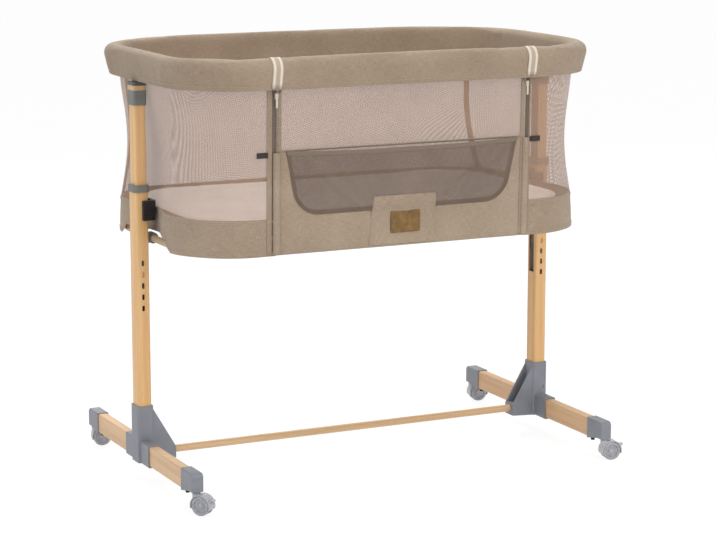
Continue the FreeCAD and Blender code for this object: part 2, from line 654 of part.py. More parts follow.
slot_reach = (S.index_tall - S.index_wide) / 2
for side, s in (("left", -1), ("right", 1)):
    px = post_x * s

    mast = piece("mast_" + side)
    solid(mast, "XY_Plane", mast_low, mast_top, mid_box(px, zero, mast_wide, mast_deep))
    soften(mast, S.post_round - S.post_wall, upright)
    hollow(mast, "XY_Plane", mast_low, mast_top, mid_box(px, zero, mast_bore_wide, mast_bore_deep))
    hollow(mast, "XZ_Plane", -mast_deep / 2, -mast_bore_deep / 2,
           stadium(px, index_high - slot_reach, index_high + slot_reach, S.index_wide / 2))

    foot = piece("mast_foot_" + side)
    guide_wide, guide_deep = bore_wide - S.glide * 2, bore_deep - S.glide * 2
    solid(foot, "XY_Plane", mast_low - 8, mast_low, mid_box(px, zero, guide_wide, guide_deep))
    soften(foot, S.post_round - S.post_wall, upright)
    plug_top = index_high + S.index_tall
    plug_wide, plug_deep = mast_bore_wide - S.fit * 2, mast_bore_deep - S.fit * 2
    solid(foot, "XY_Plane", mast_low, plug_top, mid_box(px, zero, plug_wide, plug_deep))
    solid(foot, "XZ_Plane", -mast_deep / 2, zero,
          stadium(px, index_high - slot_reach, index_high + slot_reach, S.index_wide / 2 - S.fit))

    collar = piece("mast_collar_" + side)
    collar_low = mast_top - S.collar_tall
    solid(collar, "XY_Plane", collar_low, mast_top, mid_box(px, zero, S.post_wide, S.post_deep))
    soften(collar, S.post_round, upright)
    hollow(collar, "XY_Plane", collar_low, mast_top,
           mid_box(px, zero, mast_wide + S.fit * 2, mast_deep + S.fit * 2))

    head = piece("head_" + side)
    head_top = rim_low - S.head_gap
    tube_x = (rim_long / 2 - S.tube_set) * s
    solid(head, "XY_Plane", mast_top, head_top, mid_box(px, zero, S.post_wide, S.post_deep))
    soften(head, S.post_round, upright)
    solid(head, "XY_Plane", mast_top - S.spigot, mast_top, mid_box(px, zero, plug_wide, plug_deep))
    solid(head, "XY_Plane", head_top, tube_high - 1,
          box((rim_long / 2 - S.tube_set - S.neck_in) * s, -S.neck_deep / 2,
              (rim_long / 2 - S.tube_set + S.neck_out) * s, S.neck_deep / 2))
    hollow(head, "XZ_Plane", -S.neck_deep / 2, S.neck_deep / 2,
           ring(tube_x, tube_high, S.tube_dia / 2 + S.fit))

    def across(inner, outer):
        """Two faces given by their distance from the middle, low one first."""
        return (inner * s, outer * s) if s > 0 else (outer * s, inner * s)

    block = piece("latch_block_" + side)
    block_half = S.lever_tall / 2 + 2
    x0, x1 = across(block_inner, mast_inner)
    solid(block, "YZ_Plane", x0, x1, box(-S.block_wide / 2, lever_high - block_half,
                                         S.block_wide / 2, lever_high + block_half))
    x0, x1 = across(block_inner, block_inner + S.lug_deep + S.glide)
    lug_half = S.lug_wide / 2
    hollow(block, "YZ_Plane", x0, x1,
           box(-lug_half - S.glide, lever_high - S.lug_tall / 2 - S.lever_travel / 2 - 1,
               lug_half + S.glide, lever_high + S.lug_tall / 2 + S.lever_travel / 2 + 1))

    lever = piece("release_lever_" + side)
    plate_face = block_inner - S.glide
    tab_back = S.post_deep / 2 + S.glide * 2
    lever_low, lever_top = lever_high - S.lever_tall / 2, lever_high + S.lever_tall / 2
    x0, x1 = across(lever_inner, plate_face)
    solid(lever, "YZ_Plane", x0, x1, box(-tab_back - S.lever_front, lever_low, S.block_wide / 2 + 2, lever_top))
    solid(lever, "XZ_Plane", -tab_back - S.lever_front, -tab_back,
          box(lever_inner * s, lever_low, px, lever_top))
    soften(lever, 3, lambda a, b: along_y(a, b) and near(abs(a.x), post_x))
    soften(lever, 2, lambda a, b: upright(a, b) and near(a.y, -tab_back - S.lever_front))
    # grip ribs across the thumb tab
    for i in (-2, -1, 0, 1, 2):
        at = lever_high + S.lever_tall / 8 * i
        hollow(lever, "XZ_Plane", -tab_back - S.lever_front, -tab_back - S.lever_front + 1,
               box((lever_inner + 3) * s, at - 1, (post_x - 3) * s, at + 1))
    x0, x1 = across(plate_face, block_inner + S.lug_deep)
    lug_mid = lever_high + S.lever_travel / 2
    solid(lever, "YZ_Plane", x0, x1, box(-lug_half, lug_mid - S.lug_tall / 2, lug_half, lug_mid + S.lug_tall / 2))

    carrier = piece("carrier_" + side)
    clamp_r = S.frame_dia / 2 + S.clamp_wall
    solid(carrier, "XZ_Plane", -S.carrier_wide / 2, S.carrier_wide / 2, ring(frame_x * s, frame_high, clamp_r))
    solid(carrier, "XZ_Plane", -S.carrier_wide / 2, S.carrier_wide / 2,
          box(frame_x * s, frame_high - clamp_r * 0.8, mast_inner * s, frame_high + clamp_r * 0.8))
    hollow(carrier, "XZ_Plane", -S.carrier_wide / 2, S.carrier_wide / 2,
           ring(frame_x * s, frame_high, S.frame_dia / 2 + S.fit))


# Loops, pipes and lofts of the basket ------------------------------------------------------------

def loop(a, b, r, z):
    """Rounded rectangle of half sizes a and b, starting at the middle of its front."""
    x, y = a - r, b - r
    k = r * math.sqrt(0.5)
    spots = [(0, -b), (x, -b), (x + k, -y - k), (a, -y), (a, y), (x + k, y + k), (x, b),
             (-x, b), (-x - k, y + k), (-a, y), (-a, -y), (-x - k, -y - k), (-x, -b), (0, -b)]
    p = [Vector(u, v, z) for u, v in spots]
    return Part.Wire([Part.makeLine(p[0], p[1]), Part.Arc(p[1], p[2], p[3]).toShape(),
                      Part.makeLine(p[3], p[4]), Part.Arc(p[4], p[5], p[6]).toShape(),
                      Part.makeLine(p[6], p[7]), Part.Arc(p[7], p[8], p[9]).toShape(),
                      Part.makeLine(p[9], p[10]), Part.Arc(p[10], p[11], p[12]).toShape(),
                      Part.makeLine(p[12], p[13])])


def drawn_loop(a, b, r, c, z):
    """Rounded rectangle whose ends are drawn in by c at their middles, all arcs tangent."""
    x, y = a - r, b - r
    u = a + (y * y - c * c) / (2 * c) - r
    big = u - a + c
    turn = math.atan2(y, u - x)

    def on(cx, cy, radius, angle):
        return Vector(cx + radius * math.cos(angle), cy + radius * math.sin(angle), z)

    edges = []
    for flip in (1, -1):
        half = []
        low, high = -math.pi / 2, turn
        half.append([on(x, -y, r, low), on(x, -y, r, (low + high) / 2), on(x, -y, r, high)])
        half.append([on(x, -y, r, high), Vector(u - big, 0, z), on(x, y, r, -high)])
        half.append([on(x, y, r, -high), on(x, y, r, -(low + high) / 2), on(x, y, r, -low)])
        for arc in half:
            arc = [Vector(q.x * flip, q.y * flip, z) for q in arc]
            edges.append(Part.Arc(*arc).toShape())
        edges.append(Part.makeLine(Vector(x * flip, b * flip, z), Vector(-x * flip, b * flip, z)))
    return Part.Wire(edges)


def pipe(path, profile):
    return path.makePipeShell([profile], True, False)


f = float
rim_a, rim_b, rim_r = f(rim_long) / 2, f(S.rim_deep) / 2, f(S.rim_corner)
roof = f(rim_top - S.pad_top)
inner = rim_b - f(S.rim_thick)
hem = rim_b - f(S.rim_taper)
skirt_top = rim_b - 1.5 * f(S.skirt)
shoulder = 0.42 * f(S.rim_thick)
crown = 0.33 * f(S.rim_thick)
bulge = 0.29 * crown

# the rim's section, from its outer hem over the top to its inner hem, as distance from the middle
top, low = f(rim_top), f(rim_low)
outside = [
    ("line", (hem, low), (rim_b, top - shoulder)),
    ("arc", (rim_b, top - shoulder), (rim_b - bulge, top - bulge * 1.2), (rim_b - crown, top)),
    ("line", (rim_b - crown, top), (inner + crown, top)),
    ("arc", (inner + crown, top), (inner + bulge, top - bulge * 1.2), (inner, top - shoulder)),
    ("line", (inner, top - shoulder), (inner, low + 4)),
]


def section_edges(strokes):
    made = []
    for stroke in strokes:
        spots = [Vector(0, -q, z) for q, z in stroke[1:]]
        made.append(Part.makeLine(*spots) if stroke[0] == "line" else Part.Arc(*spots).toShape())
    return made


channel = [(inner, low + 4), (inner + f(S.lining), low + 4), (inner + f(S.lining), roof),
           (skirt_top, roof), (skirt_top, top - shoulder), (hem - f(S.skirt), low), (hem, low)]
rim_section = Part.Wire(section_edges(outside + [("line", channel[i], channel[i + 1]) for i in range(6)]))
rim_path = loop(rim_a, rim_b, rim_r, low)
feature("rim_cover", pipe(rim_path, rim_section))

tube_set = f(S.tube_set)
tube_path = loop(rim_a - tube_set, rim_b - tube_set, rim_r - tube_set, f(tube_high))
tube_at = Vector(0, -(rim_b - tube_set), f(tube_high))
feature("rim_tube", pipe(tube_path, Part.Wire(Part.makeCircle(f(S.tube_dia) / 2, tube_at, Vector(1, 0, 0)))))

core = Part.Face(Part.Wire(section_edges(outside + [("line", (inner, low + 4), (hem, low))])))
band = core.makeOffset2D(f(S.strap_thick)).cut(core)
straps = []
for s in (-1, 1):
    strap = band.extrude(Vector(f(S.strap_wide), 0, 0))
    strap.translate(Vector(f(strap_out) * s - f(S.strap_wide) / 2, 0, 0))
    keep = Part.makeBox(f(S.strap_wide) * 2, 100, top - low, Vector(f(strap_out) * s - f(S.strap_wide),
                                                                  -rim_b - 30, low + 5))
    straps.append(strap.common(keep))
feature("straps", Part.makeCompound(straps))

frame_path = loop(f(frame_long) / 2, f(frame_deep) / 2, f(frame_corner), f(frame_high))
frame_at = Vector(0, -f(frame_deep) / 2, f(frame_high))
feature("base_frame", pipe(frame_path, Part.Wire(Part.makeCircle(f(S.frame_dia) / 2, frame_at, Vector(1, 0, 0)))))

slat_half = f(frame_deep + S.frame_dia) / 2 - 1.5
slats = []
for s in (-1, 1):
    slat = Part.makeBox(f(S.slat_wide), slat_half * 2, f(S.slat_tall),
                        Vector(f(S.slat_out) * s - f(S.slat_wide) / 2, -slat_half, f(slat_low)))
    slats.append(slat.makeFillet(2, [e for e in slat.Edges if abs(e.BoundBox.YLength - 2 * slat_half) < 1e-3]))
feature("base_slats", Part.makeCompound(slats))

board = piece("base_board")
solid(board, "XY_Plane", board_low, mattress_low, mid_box(zero, zero, board_long, board_deep))
soften(board, board_corner, upright)

over, m_round = f(S.mattress_over), f(S.mattress_round)
m_a, m_b, m_r = f(board_long) / 2 + over, f(board_deep) / 2 + over, f(board_corner) + over
pad_wire = loop(m_a, m_b, m_r, f(mattress_low))
pad_solid = Part.Face(pad_wire).extrude(Vector(0, 0, f(S.mattress_thick)))
pad_ends = [e for e in pad_solid.Edges if e.BoundBox.ZLength < 1e-3]
feature("mattress", pad_solid.makeFillet(m_round, pad_ends))


# Walls of the basket: outer half length, drawn-in ends and corner radius change with height ---------

def lean(z):
    """Distance of the outer front face from the middle, as a sheet size."""
    return wall_deep_low / 2 + S.wall_lean * (z - wall_low) / (rim_top - S.pad_top - wall_low)


neck_side = rim_a - f(S.rim_thick) + f(S.lining) + f(S.mesh_thick) + f(S.glide)
high_corner = rim_r - f(S.rim_thick) + f(S.lining) + f(S.mesh_thick) + f(S.glide)
z_low, z_seam = f(wall_low), f(seam_high)
waist = (z_seam + roof) / 2
tuck_low, tuck_high = f(S.tuck_low), f(S.tuck_high)
LEVELS = [
    (z_low, f(wall_long_low) / 2, tuck_low),
    (z_seam, f(wall_long_seam) / 2, 0.8 * tuck_low),
    (f(knee_high), f(wall_long_knee) / 2, (tuck_low + tuck_high) / 2),
    (waist, f(wall_long_waist) / 2, tuck_high),
    ((waist + low) / 2, f(wall_long_high) / 2, tuck_high / 2),
    (low, neck_side, f(S.tuck_top)),
    (roof, neck_side, f(S.tuck_top)),
]


def wall_loop(level, thick):
    z, a, c = level
    share = min((z - z_low) / (low - z_low), 1)
    r = f(wall_corner) + (high_corner - f(wall_corner)) * share
    b = f(lean(z))
    return drawn_loop(a - thick, b - thick, r - thick, c, z)


def wall(levels, thick):
    """Shell through the levels, smooth up to the hem of the rim and straight inside it."""
    filled = []
    for inset in (0, thick):
        loops = [wall_loop(level, inset) for level in levels]
        if len(loops) > 2:
            filled.append(Part.makeLoft(loops[:-1], True, False).fuse(Part.makeLoft(loops[-2:], True, True)))
        else:
            filled.append(Part.makeLoft(loops, True, True))
    return filled[0].cut(filled[1])


gap_half = f(S.panel_wide) / 2 + f(S.zip_gap)
gate = Part.makeBox(gap_half * 2, rim_b, 2 * (top - z_low), Vector(-gap_half, -rim_b * 1.2, z_low - 50))
feature("mesh_wall", wall(LEVELS[1:], f(S.mesh_thick)).cut(gate))
notch = Part.makeBox(f(rim_long) * 2, f(S.hem_notch), f(S.hem_rise) + 50,
                     Vector(-f(rim_long), -f(S.hem_notch) / 2, z_low - 50))
feature("border", wall(LEVELS[:2], f(S.cloth_thick)).cut(gate).cut(notch))

# Drop panel between the zips ---------------------------------------------------------------------

panel_low = wall_low + 1
side_x = S.panel_wide / 2
def prism_yz(corners, x0, x1):
    spots = [Vector(x0, y, z) for y, z in corners]
    return Part.Face(Part.makePolygon(spots + spots[:1])).extrude(Vector(x1 - x0, 0, 0))


def prism_xz(corners, y0, y1):
    spots = [Vector(x, y0, z) for x, z in corners]
    return Part.Face(Part.makePolygon(spots + spots[:1])).extrude(Vector(0, y1 - y0, 0))


def face_y(z, out=0.0):
    """Y of a surface that stands off the front face by out."""
    return -f(lean(z)) - out


p_low, p_high = f(pocket_low), f(pocket_high)
p_out, p_thin, net_thick = f(S.pocket_out), f(S.pocket_thin), f(S.pocket_wall)


front_slab = (-rim_b * 1.5, -rim_b * 0.6)


def bag_front(inset, z_top):
    """The pocket's outline, drawn in by inset and carried through the wall from front to back."""
    top_half, foot_half = f(pocket_wide) / 2 - inset, f(pocket_foot) / 2 - inset
    z0 = p_low + inset
    block = prism_xz([(-top_half, z_top), (-foot_half, z0), (foot_half, z0), (top_half, z_top)], *front_slab)
    bends = [e for e in block.Edges if e.BoundBox.YLength > rim_b / 2 and abs(e.BoundBox.ZMin - z0) < 1e-3]
    return block.makeFillet(f(S.pocket_corner) - inset, bends)


def pouch(inset, z_top):
    slope = (p_out - p_thin) / (p_high - p_low)
    wedge = prism_yz([(face_y(p_low - 5, -5 if inset else 0), p_low - 5),
                      (face_y(z_top, -5 if inset else 0), z_top),
                      (face_y(z_top, p_out - inset + slope * (z_top - p_high)), z_top),
                      (face_y(p_low - 5, p_thin - inset - slope * 5), p_low - 5)], -rim_a, rim_a)
    return bag_front(inset, z_top).common(wedge)


def leaf(z0, z1, thick):
    """Sheet of the panel's full width between two heights."""
    return prism_yz([(face_y(z0), z0), (face_y(z1), z1), (face_y(z1, -thick), z1), (face_y(z0, -thick), z0)],
                    -f(side_x), f(side_x))


window = bag_front(f(S.pocket_hem), p_high + 20)
net_top = f(panel_top)
feature("panel_border", leaf(f(panel_low), p_high, f(S.cloth_thick)).cut(window))
feature("panel_mesh", leaf(p_high, net_top, f(S.mesh_thick)).fuse(
    leaf(f(panel_low), p_high, f(S.mesh_thick)).common(window)).removeSplitter())
feature("pocket", pouch(0, p_high).cut(pouch(net_thick, p_high + 20)))

t_high, t_low, t_thick = f(tab_high), f(wall_low) + 5, f(S.tab_thick)
t_out = p_thin + (p_out - p_thin) * (t_high - p_low) / (p_high - p_low)
spine = [(t_high, t_out), (p_low, p_thin), (p_low - 2, 0), (t_low, 0)]
strip = prism_yz([(face_y(z, out), z) for z, out in spine]
                 + [(face_y(z, out + t_thick), z) for z, out in reversed(spine)],
                 -f(S.tab_foot) / 2, f(S.tab_foot) / 2)
feature("tab", strip.common(prism_xz([(-f(S.tab_wide) / 2, t_high), (-f(S.tab_foot) / 2, t_low),
                                      (f(S.tab_foot) / 2, t_low), (f(S.tab_wide) / 2, t_high)], *front_slab)))

patch_z = (f(patch_high) - f(S.patch_tall) / 2, f(patch_high) + f(S.patch_tall) / 2)
feature("patch", prism_yz([(face_y(patch_z[0], t_thick), patch_z[0]), (face_y(patch_z[1], t_thick), patch_z[1]),
                           (face_y(patch_z[1], t_thick + f(S.patch_thick)), patch_z[1]),
                           (face_y(patch_z[0], t_thick + f(S.patch_thick)), patch_z[0])],
                          f(S.patch_off) - f(S.patch_wide) / 2, f(S.patch_off) + f(S.patch_wide) / 2))

tape_low, tape_top, tape = f(wall_low) + 3, f(rim_low) - 1, f(S.tape_thick)
tape_form = [(face_y(tape_low), tape_low), (face_y(tape_top), tape_top),
             (face_y(tape_top, tape), tape_top), (face_y(tape_low, tape), tape_low)]
tapes = [prism_yz(tape_form, x, x + f(S.tape_wide)) for x in (gap_half, -gap_half - f(S.tape_wide))]
feature("zip_tapes", Part.makeCompound(tapes))

for side, s in (("left", -1), ("right", 1)):
    x_in = (f(side_x) + 0.5) * s
    x_out = x_in + f(S.slider_wide) * s
    z1 = tape_top - 6
    z0 = z1 - f(S.slider_tall)
    back, front = tape + 0.05, tape + f(S.slider_thick)
    shell = prism_yz([(face_y(z0, back), z0), (face_y(z1, back), z1), (face_y(z1 - 1, front), z1 - 1),
                      (face_y(z0 + 2, front), z0 + 2)], x_in, x_out)
    mid = (x_in + x_out) / 2
    pull = prism_yz([(face_y(z0 - 16, front - 1), z0 - 16), (face_y(z0 + 5, front - 1), z0 + 5),
                     (face_y(z0 + 5, front + 0.8), z0 + 5), (face_y(z0 - 16, front + 0.8), z0 - 16)],
                    mid - 2, mid + 2)
    feature("zip_slider_" + side, shell.fuse(pull).removeSplitter())

loops = []
for s in (-1, 1):
    x0 = (gap_half + f(S.tape_wide) + 1) * s
    loops.append(prism_yz([(face_y(p_high - 4), p_high - 4), (face_y(p_high + 3), p_high + 3),
                           (face_y(p_high + 3, 2.2), p_high + 3), (face_y(p_high - 4, 2.2), p_high - 4)],
                          min(x0, x0 + 13 * s), max(x0, x0 + 13 * s)))
feature("side_loops", Part.makeCompound(loops))

# Placements: casters at their rest headings, then the origin to the middle of the footprint --------

doc.recompute()
pieces = [thing for thing in doc.Objects if thing.TypeId in ("PartDesign::Body", "Part::Feature")
          and thing.getParentGeoFeatureGroup() is None]
headings = {"front_left": S.turn_front_left, "front_right": S.turn_front_right,
            "back_left": S.turn_back_left, "back_right": S.turn_back_right}
for thing in pieces:
    if thing.Name in moved:
        which, s, e, rolls = moved[thing.Name]
        spot = Placement(Vector(f(post_x) * s, f(S.swivel_out) * e, 0),
                         Rotation(Vector(0, 0, 1), f(headings[which])))
        if rolls:
            spot = spot * Placement(Vector(f(S.trail), 0, f(wheel_r)), Rotation(Vector(1, 0, 0), 90))
        thing.Placement = spot

edges_box = [thing.Shape.optimalBoundingBox(False, False) for thing in pieces]
shift = Vector(-(min(b.XMin for b in edges_box) + max(b.XMax for b in edges_box)) / 2,
               -(min(b.YMin for b in edges_box) + max(b.YMax for b in edges_box)) / 2, 0)
for thing in pieces:
    thing.Placement = Placement(shift, Rotation()) * thing.Placement
doc.recompute()

for thing in doc.Objects:
    if "Invalid" in thing.State or "Error" in thing.State:
        raise RuntimeError("%s failed: %s" % (thing.Label, thing.State))
for thing in pieces:
    if thing.Shape.isNull() or not thing.Shape.isValid() or not thing.Shape.Solids:
        raise RuntimeError("%s has no valid solid" % thing.Label)

os.makedirs("parts", exist_ok=True)
for thing in pieces:
    thing.Shape.exportStep("parts/%s.step" % thing.Label)
print("%d pieces, origin moved by %.3f, %.3f" % (len(pieces), shift.x, shift.y))
for name in ("rim_cover", "rim_tube", "base_frame", "mesh_wall", "border", "mattress", "pocket"):
    thing = doc.getObjectsByLabel(name)[0]
    print("%s: %d solid, volume %.0f" % (name, len(thing.Shape.Solids), thing.Shape.Volume))
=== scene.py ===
"""A bedside sleeper crib: a padded mesh basket between two telescopic posts, on a base with casters.

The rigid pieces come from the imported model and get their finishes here. The sewn goods, which are the rim,
the walls, the drop-down front with its pocket and the mattress, are made here from their real patterns.
"""

import math

import bpy
import numpy as np
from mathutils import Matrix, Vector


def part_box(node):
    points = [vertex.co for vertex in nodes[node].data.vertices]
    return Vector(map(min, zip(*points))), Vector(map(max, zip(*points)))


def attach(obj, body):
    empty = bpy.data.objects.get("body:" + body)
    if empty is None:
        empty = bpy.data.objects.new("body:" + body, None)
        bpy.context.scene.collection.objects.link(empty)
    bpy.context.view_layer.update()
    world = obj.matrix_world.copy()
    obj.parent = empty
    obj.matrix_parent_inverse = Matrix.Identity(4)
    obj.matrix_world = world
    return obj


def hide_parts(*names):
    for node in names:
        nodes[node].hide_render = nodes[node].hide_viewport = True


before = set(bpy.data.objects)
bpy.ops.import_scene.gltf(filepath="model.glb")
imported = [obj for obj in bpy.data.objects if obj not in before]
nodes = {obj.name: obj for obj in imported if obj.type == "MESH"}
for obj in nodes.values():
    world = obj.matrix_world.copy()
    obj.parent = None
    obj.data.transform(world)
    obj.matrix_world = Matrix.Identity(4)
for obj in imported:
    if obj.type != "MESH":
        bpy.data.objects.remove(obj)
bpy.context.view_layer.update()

# ----------------------------------------
# Studio. A white sweep with soft light from all round, and the camera at the left front, where a
# visitor would stand: about 26 degrees round from square on, and a little above the rim.

scene = bpy.context.scene
scene.view_settings.view_transform = "Standard"

post_l, post_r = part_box("lower_post_left"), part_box("lower_post_right")
MIDDLE = np.array([(post_l[0].x + post_r[1].x) / 2, (post_l[0].y + post_r[1].y) / 2, 0.0])


def colour(red, green, blue):
    """Linear colour of a shade given as it looks on a screen, 0 to 255."""
    c = np.array([red, green, blue]) / 255
    return tuple(np.where(c <= 0.04045, c / 12.92, ((c + 0.055) / 1.055) ** 2.4)) + (1.0,)


class Value:
    """A number that flows through a node tree, so that its formulas can be written as sums and products."""

    def __init__(self, owner, socket):
        self.owner, self.socket = owner, socket

    def maths(self, operation, *rest):
        return self.owner.node("ShaderNodeMath", {"operation": operation}, self, *rest)

    def __add__(self, other):
        return self.maths("ADD", other)

    def __sub__(self, other):
        return self.maths("SUBTRACT", other)

    def __mul__(self, other):
        return self.maths("MULTIPLY", other)

    def __truediv__(self, other):
        return self.maths("DIVIDE", other)

    def __rsub__(self, other):
        return self.owner.node("ShaderNodeMath", {"operation": "SUBTRACT"}, other, self)

    __radd__, __rmul__ = __add__, __mul__

    def clamped(self):
        return self.owner.node("ShaderNodeClamp", {}, self)

    def axis(self, number):
        """One coordinate of a place: 0, 1 or 2."""
        return self.owner.node("ShaderNodeSeparateXYZ", {}, self, out=number)

    def waves(self, pitch):
        """A sine that comes round once every pitch."""
        return (self * (2 * math.pi / pitch)).maths("SINE")


class Nodes:
    """A node tree, and the way to add to it."""

    def __init__(self, tree):
        self.tree = tree
        tree.nodes.clear()

    def give(self, socket, value):
        if isinstance(value, Value):
            self.tree.links.new(value.socket, socket)
        else:
            socket.default_value = value

    def node(self, kind, settings, *values, out=0, **named):
        made = self.tree.nodes.new(kind)
        for key, value in settings.items():
            setattr(made, key, value)
        for socket, value in zip(made.inputs, values):
            self.give(socket, value)
        for key, value in named.items():
            self.give(made.inputs[key.replace("_", " ")], value)
        return Value(self, made.outputs[out])

    def seen_by(self, *kinds):
        """1 for rays of these kinds, and 0 for all others."""
        path = self.tree.nodes.new("ShaderNodeLightPath")
        either, *rest = [Value(self, path.outputs[f"Is {kind} Ray"]) for kind in kinds]
        for other in rest:
            either = either.maths("MAXIMUM", other)
        return either


class Finish(Nodes):
    """A material: one Principled shader and the nodes that feed it."""

    def __init__(self, name, **sockets):
        self.material = bpy.data.materials.new(name)
        self.material.use_nodes = True
        super().__init__(self.material.node_tree)
        self.shader = self.tree.nodes.new("ShaderNodeBsdfPrincipled")
        self.output = self.tree.nodes.new("ShaderNodeOutputMaterial")
        self.tree.links.new(self.shader.outputs[0], self.output.inputs[0])
        self.set(**sockets)

    def set(self, **sockets):
        for name, value in sockets.items():
            self.give(self.shader.inputs[name.replace("_", " ")], value)

    def mix(self, share, *both):
        """Two shades or values, mixed by share."""
        made = self.tree.nodes.new("ShaderNodeMix")
        made.data_type = "RGBA"
        self.give(made.inputs[0], share)
        for socket, value in zip(made.inputs[6:8], both):
            self.give(socket, value if isinstance(value, Value) else colour(*value))
        return Value(self, made.outputs[2])

    def place(self, scale=(1, 1, 1), along_cloth=False, turn=0.0):
        """Where a point lies: in the object, or along the cloth in metres, stretched by scale and turned."""
        if along_cloth:
            at = self.node("ShaderNodeUVMap", {"uv_map": "cloth"})
        else:
            at = self.node("ShaderNodeTexCoord", {}, out=3)
        return self.node("ShaderNodeMapping", {}, at, Scale=scale, Rotation=(0, 0, turn))

    def noise(self, at, scale, detail=3.0, rough=0.55, distortion=0.0):
        return self.node("ShaderNodeTexNoise", {}, Vector=at, Scale=scale, Detail=detail,
                         Roughness=rough, Distortion=distortion)

    def bump(self, height, depth, strength):
        return self.node("ShaderNodeBump", {}, Strength=strength, Distance=depth, Height=height)

    def looks(self, tone, dark, light, rough, *relief):
        """The usual finish: tone mixes two shades, and relief is the bumps' height, depth and strength."""
        self.set(Base_Color=self.mix(tone.clamped(), dark, light), Roughness=rough, Normal=self.bump(*relief))
        return self.material


floor = bpy.data.objects.new("studio_floor", bpy.data.meshes.new("studio_floor"))
floor.data.from_pydata([(-60, -60, 0), (60, -60, 0), (60, 60, 0), (-60, 60, 0)], [], [(0, 1, 2, 3)])
scene.collection.objects.link(floor)
sweep = Finish("studio_white", Base_Color=(0.9, 0.9, 0.9, 1), Roughness=0.9, Specular_IOR_Level=0.1)
lit = Value(sweep, sweep.shader.outputs[0])
white = sweep.node("ShaderNodeEmission", {}, (1, 1, 1, 1), 1.06)
whitened = sweep.seen_by("Camera", "Glossy", "Transmission") * 0.84
sweep.give(sweep.output.inputs[0], sweep.node("ShaderNodeMixShader", {}, whitened, lit, white))
floor.data.materials.append(sweep.material)

scene.world = bpy.data.worlds.new("studio")
scene.world.use_nodes = True
sky = Nodes(scene.world.node_tree)
around = sky.node("ShaderNodeBackground", {}, (0.97, 0.98, 1, 1), 0.66)
beyond = sky.node("ShaderNodeBackground", {}, (1, 1, 1, 1), 1.0)
either = sky.node("ShaderNodeMixShader", {}, sky.seen_by("Camera", "Transmission"), around, beyond)
sky.give(sky.tree.nodes.new("ShaderNodeOutputWorld").inputs[0], either)

for name, place, aim, size, watts, tint in (
        ("lamp_above", (-0.4, -0.7, 3.4), (0, 0, 0.4), 2.6, 34, (1, 0.98, 0.95)),
        ("lamp_behind", (0.5, 2.3, 2.9), (0, 0, 0.8), 2.2, 82, (1, 0.99, 0.97)),
        ("lamp_front", (0.9, -3.6, 1.9), (0, 0, 0.5), 2.2, 41, (1, 0.98, 0.95)),
        ("lamp_side", (-3.4, -1.2, 1.7), (0, 0, 0.5), 2.0, 14, (0.98, 0.98, 1))):
    lamp = bpy.data.objects.new(name, bpy.data.lights.new(name, "AREA"))
    lamp.data.size, lamp.data.energy, lamp.data.color = size, watts, tint
    lamp.location = place
    beam = np.array(aim) - np.array(place)
    beam /= np.linalg.norm(beam)
    lamp.rotation_euler = (math.acos(-beam[2]), 0, math.atan2(-beam[0], beam[1]))
    scene.collection.objects.link(lamp)

# focal length and width of the picture, both in its pixels, and how far the camera looks round and down
FOCAL, WIDTH, ROUND, DOWN = 2323.17, 716, 25.88, 10.585
camera = bpy.data.objects.new("camera", bpy.data.cameras.new("camera"))
camera.data.sensor_width = 36.0
camera.data.lens = FOCAL / WIDTH * camera.data.sensor_width
camera.location = MIDDLE + np.array([-2.02116, -4.21913, 1.25847])
camera.rotation_euler = (math.radians(90 - DOWN), 0, math.radians(-ROUND))
camera.data.clip_end = 300
scene.collection.objects.link(camera)
scene.camera = camera

# ----------------------------------------
# Frame tubes: foot rails, posts, masts and crossbar. Metal tube wrapped in a beech foil whose grain
# runs along each tube, and the moulded heads that carry the same foil up to the rim.


def beech(name, along, light=(230, 187, 132), dark=(208, 162, 106)):
    """Beech foil. The grain is noise drawn out 40 times along the tube, with short dark flecks over it."""
    skin = Finish(name, Coat_Weight=0.12, Coat_Roughness=0.35)

    def drawn(across, lengthways, *looks):
        return skin.noise(skin.place([lengthways if i == along else across for i in range(3)]), 1.0, *looks)

    grain = drawn(95.0, 2.4, 5.0, 0.6, 0.35)
    fleck = drawn(620.0, 38.0, 2.0, 0.5)
    broad = drawn(12.0, 1.1, 2.0)
    tone = ((grain - 0.36) * 2.6 + (broad - 0.5) * 0.9).clamped()
    pores = ((fleck - 0.62) * 7.0).clamped()
    skin.looks(pores * 0.3, skin.mix(tone, dark, light), [v * 0.78 for v in dark], 0.36 + grain * 0.16,
               grain - pores * 0.5, 0.00012, 0.5)
    return skin


def dress(material, *names):
    """Gives CAD pieces their finish. A name that ends in _ stands for a left and a right piece."""
    for name in names:
        for side in ("left", "right") if name.endswith("_") else ("",):
            nodes[name + side].material_slots[0].material = material


def lined(skin, over, shade):
    """Gives part of a tube another shade: all of it where over is above a tenth of a millimetre."""
    old = skin.shader.inputs["Base Color"].links[0].from_socket
    skin.set(Base_Color=skin.mix((over * 10000).clamped(), Value(skin, old), shade))
    return skin.material


POST_X = (post_r[0].x + post_r[1].x - post_l[0].x - post_l[1].x) / 4
POST_WIDE, POST_DEEP = (post_l[1].x - post_l[0].x) / 2, (post_l[1].y - post_l[0].y) / 2


def off_post(skin):
    """How far a point lies from the middle of its post, along the crib and across it."""
    at = skin.node("ShaderNodeVectorMath", {"operation": "SUBTRACT"}, skin.place(), tuple(MIDDLE))
    return at.axis(0).maths("ABSOLUTE") - POST_X, at.axis(1).maths("ABSOLUTE")


# the posts' tubes are bare inside, from a little below their skin, which shows through the track slot. That
# inside is painted a pale mauve, lighter than the bare tube: painted light against the shade inside the tube
SKIN = 0.0016
tube = beech("beech_post_painted_light", 2)
x, y = off_post(tube)
inside = (POST_WIDE - SKIN - x.maths("ABSOLUTE")).maths("MINIMUM", POST_DEEP - SKIN - y)
dress(lined(tube, inside, (176, 156, 148)), "lower_post_")
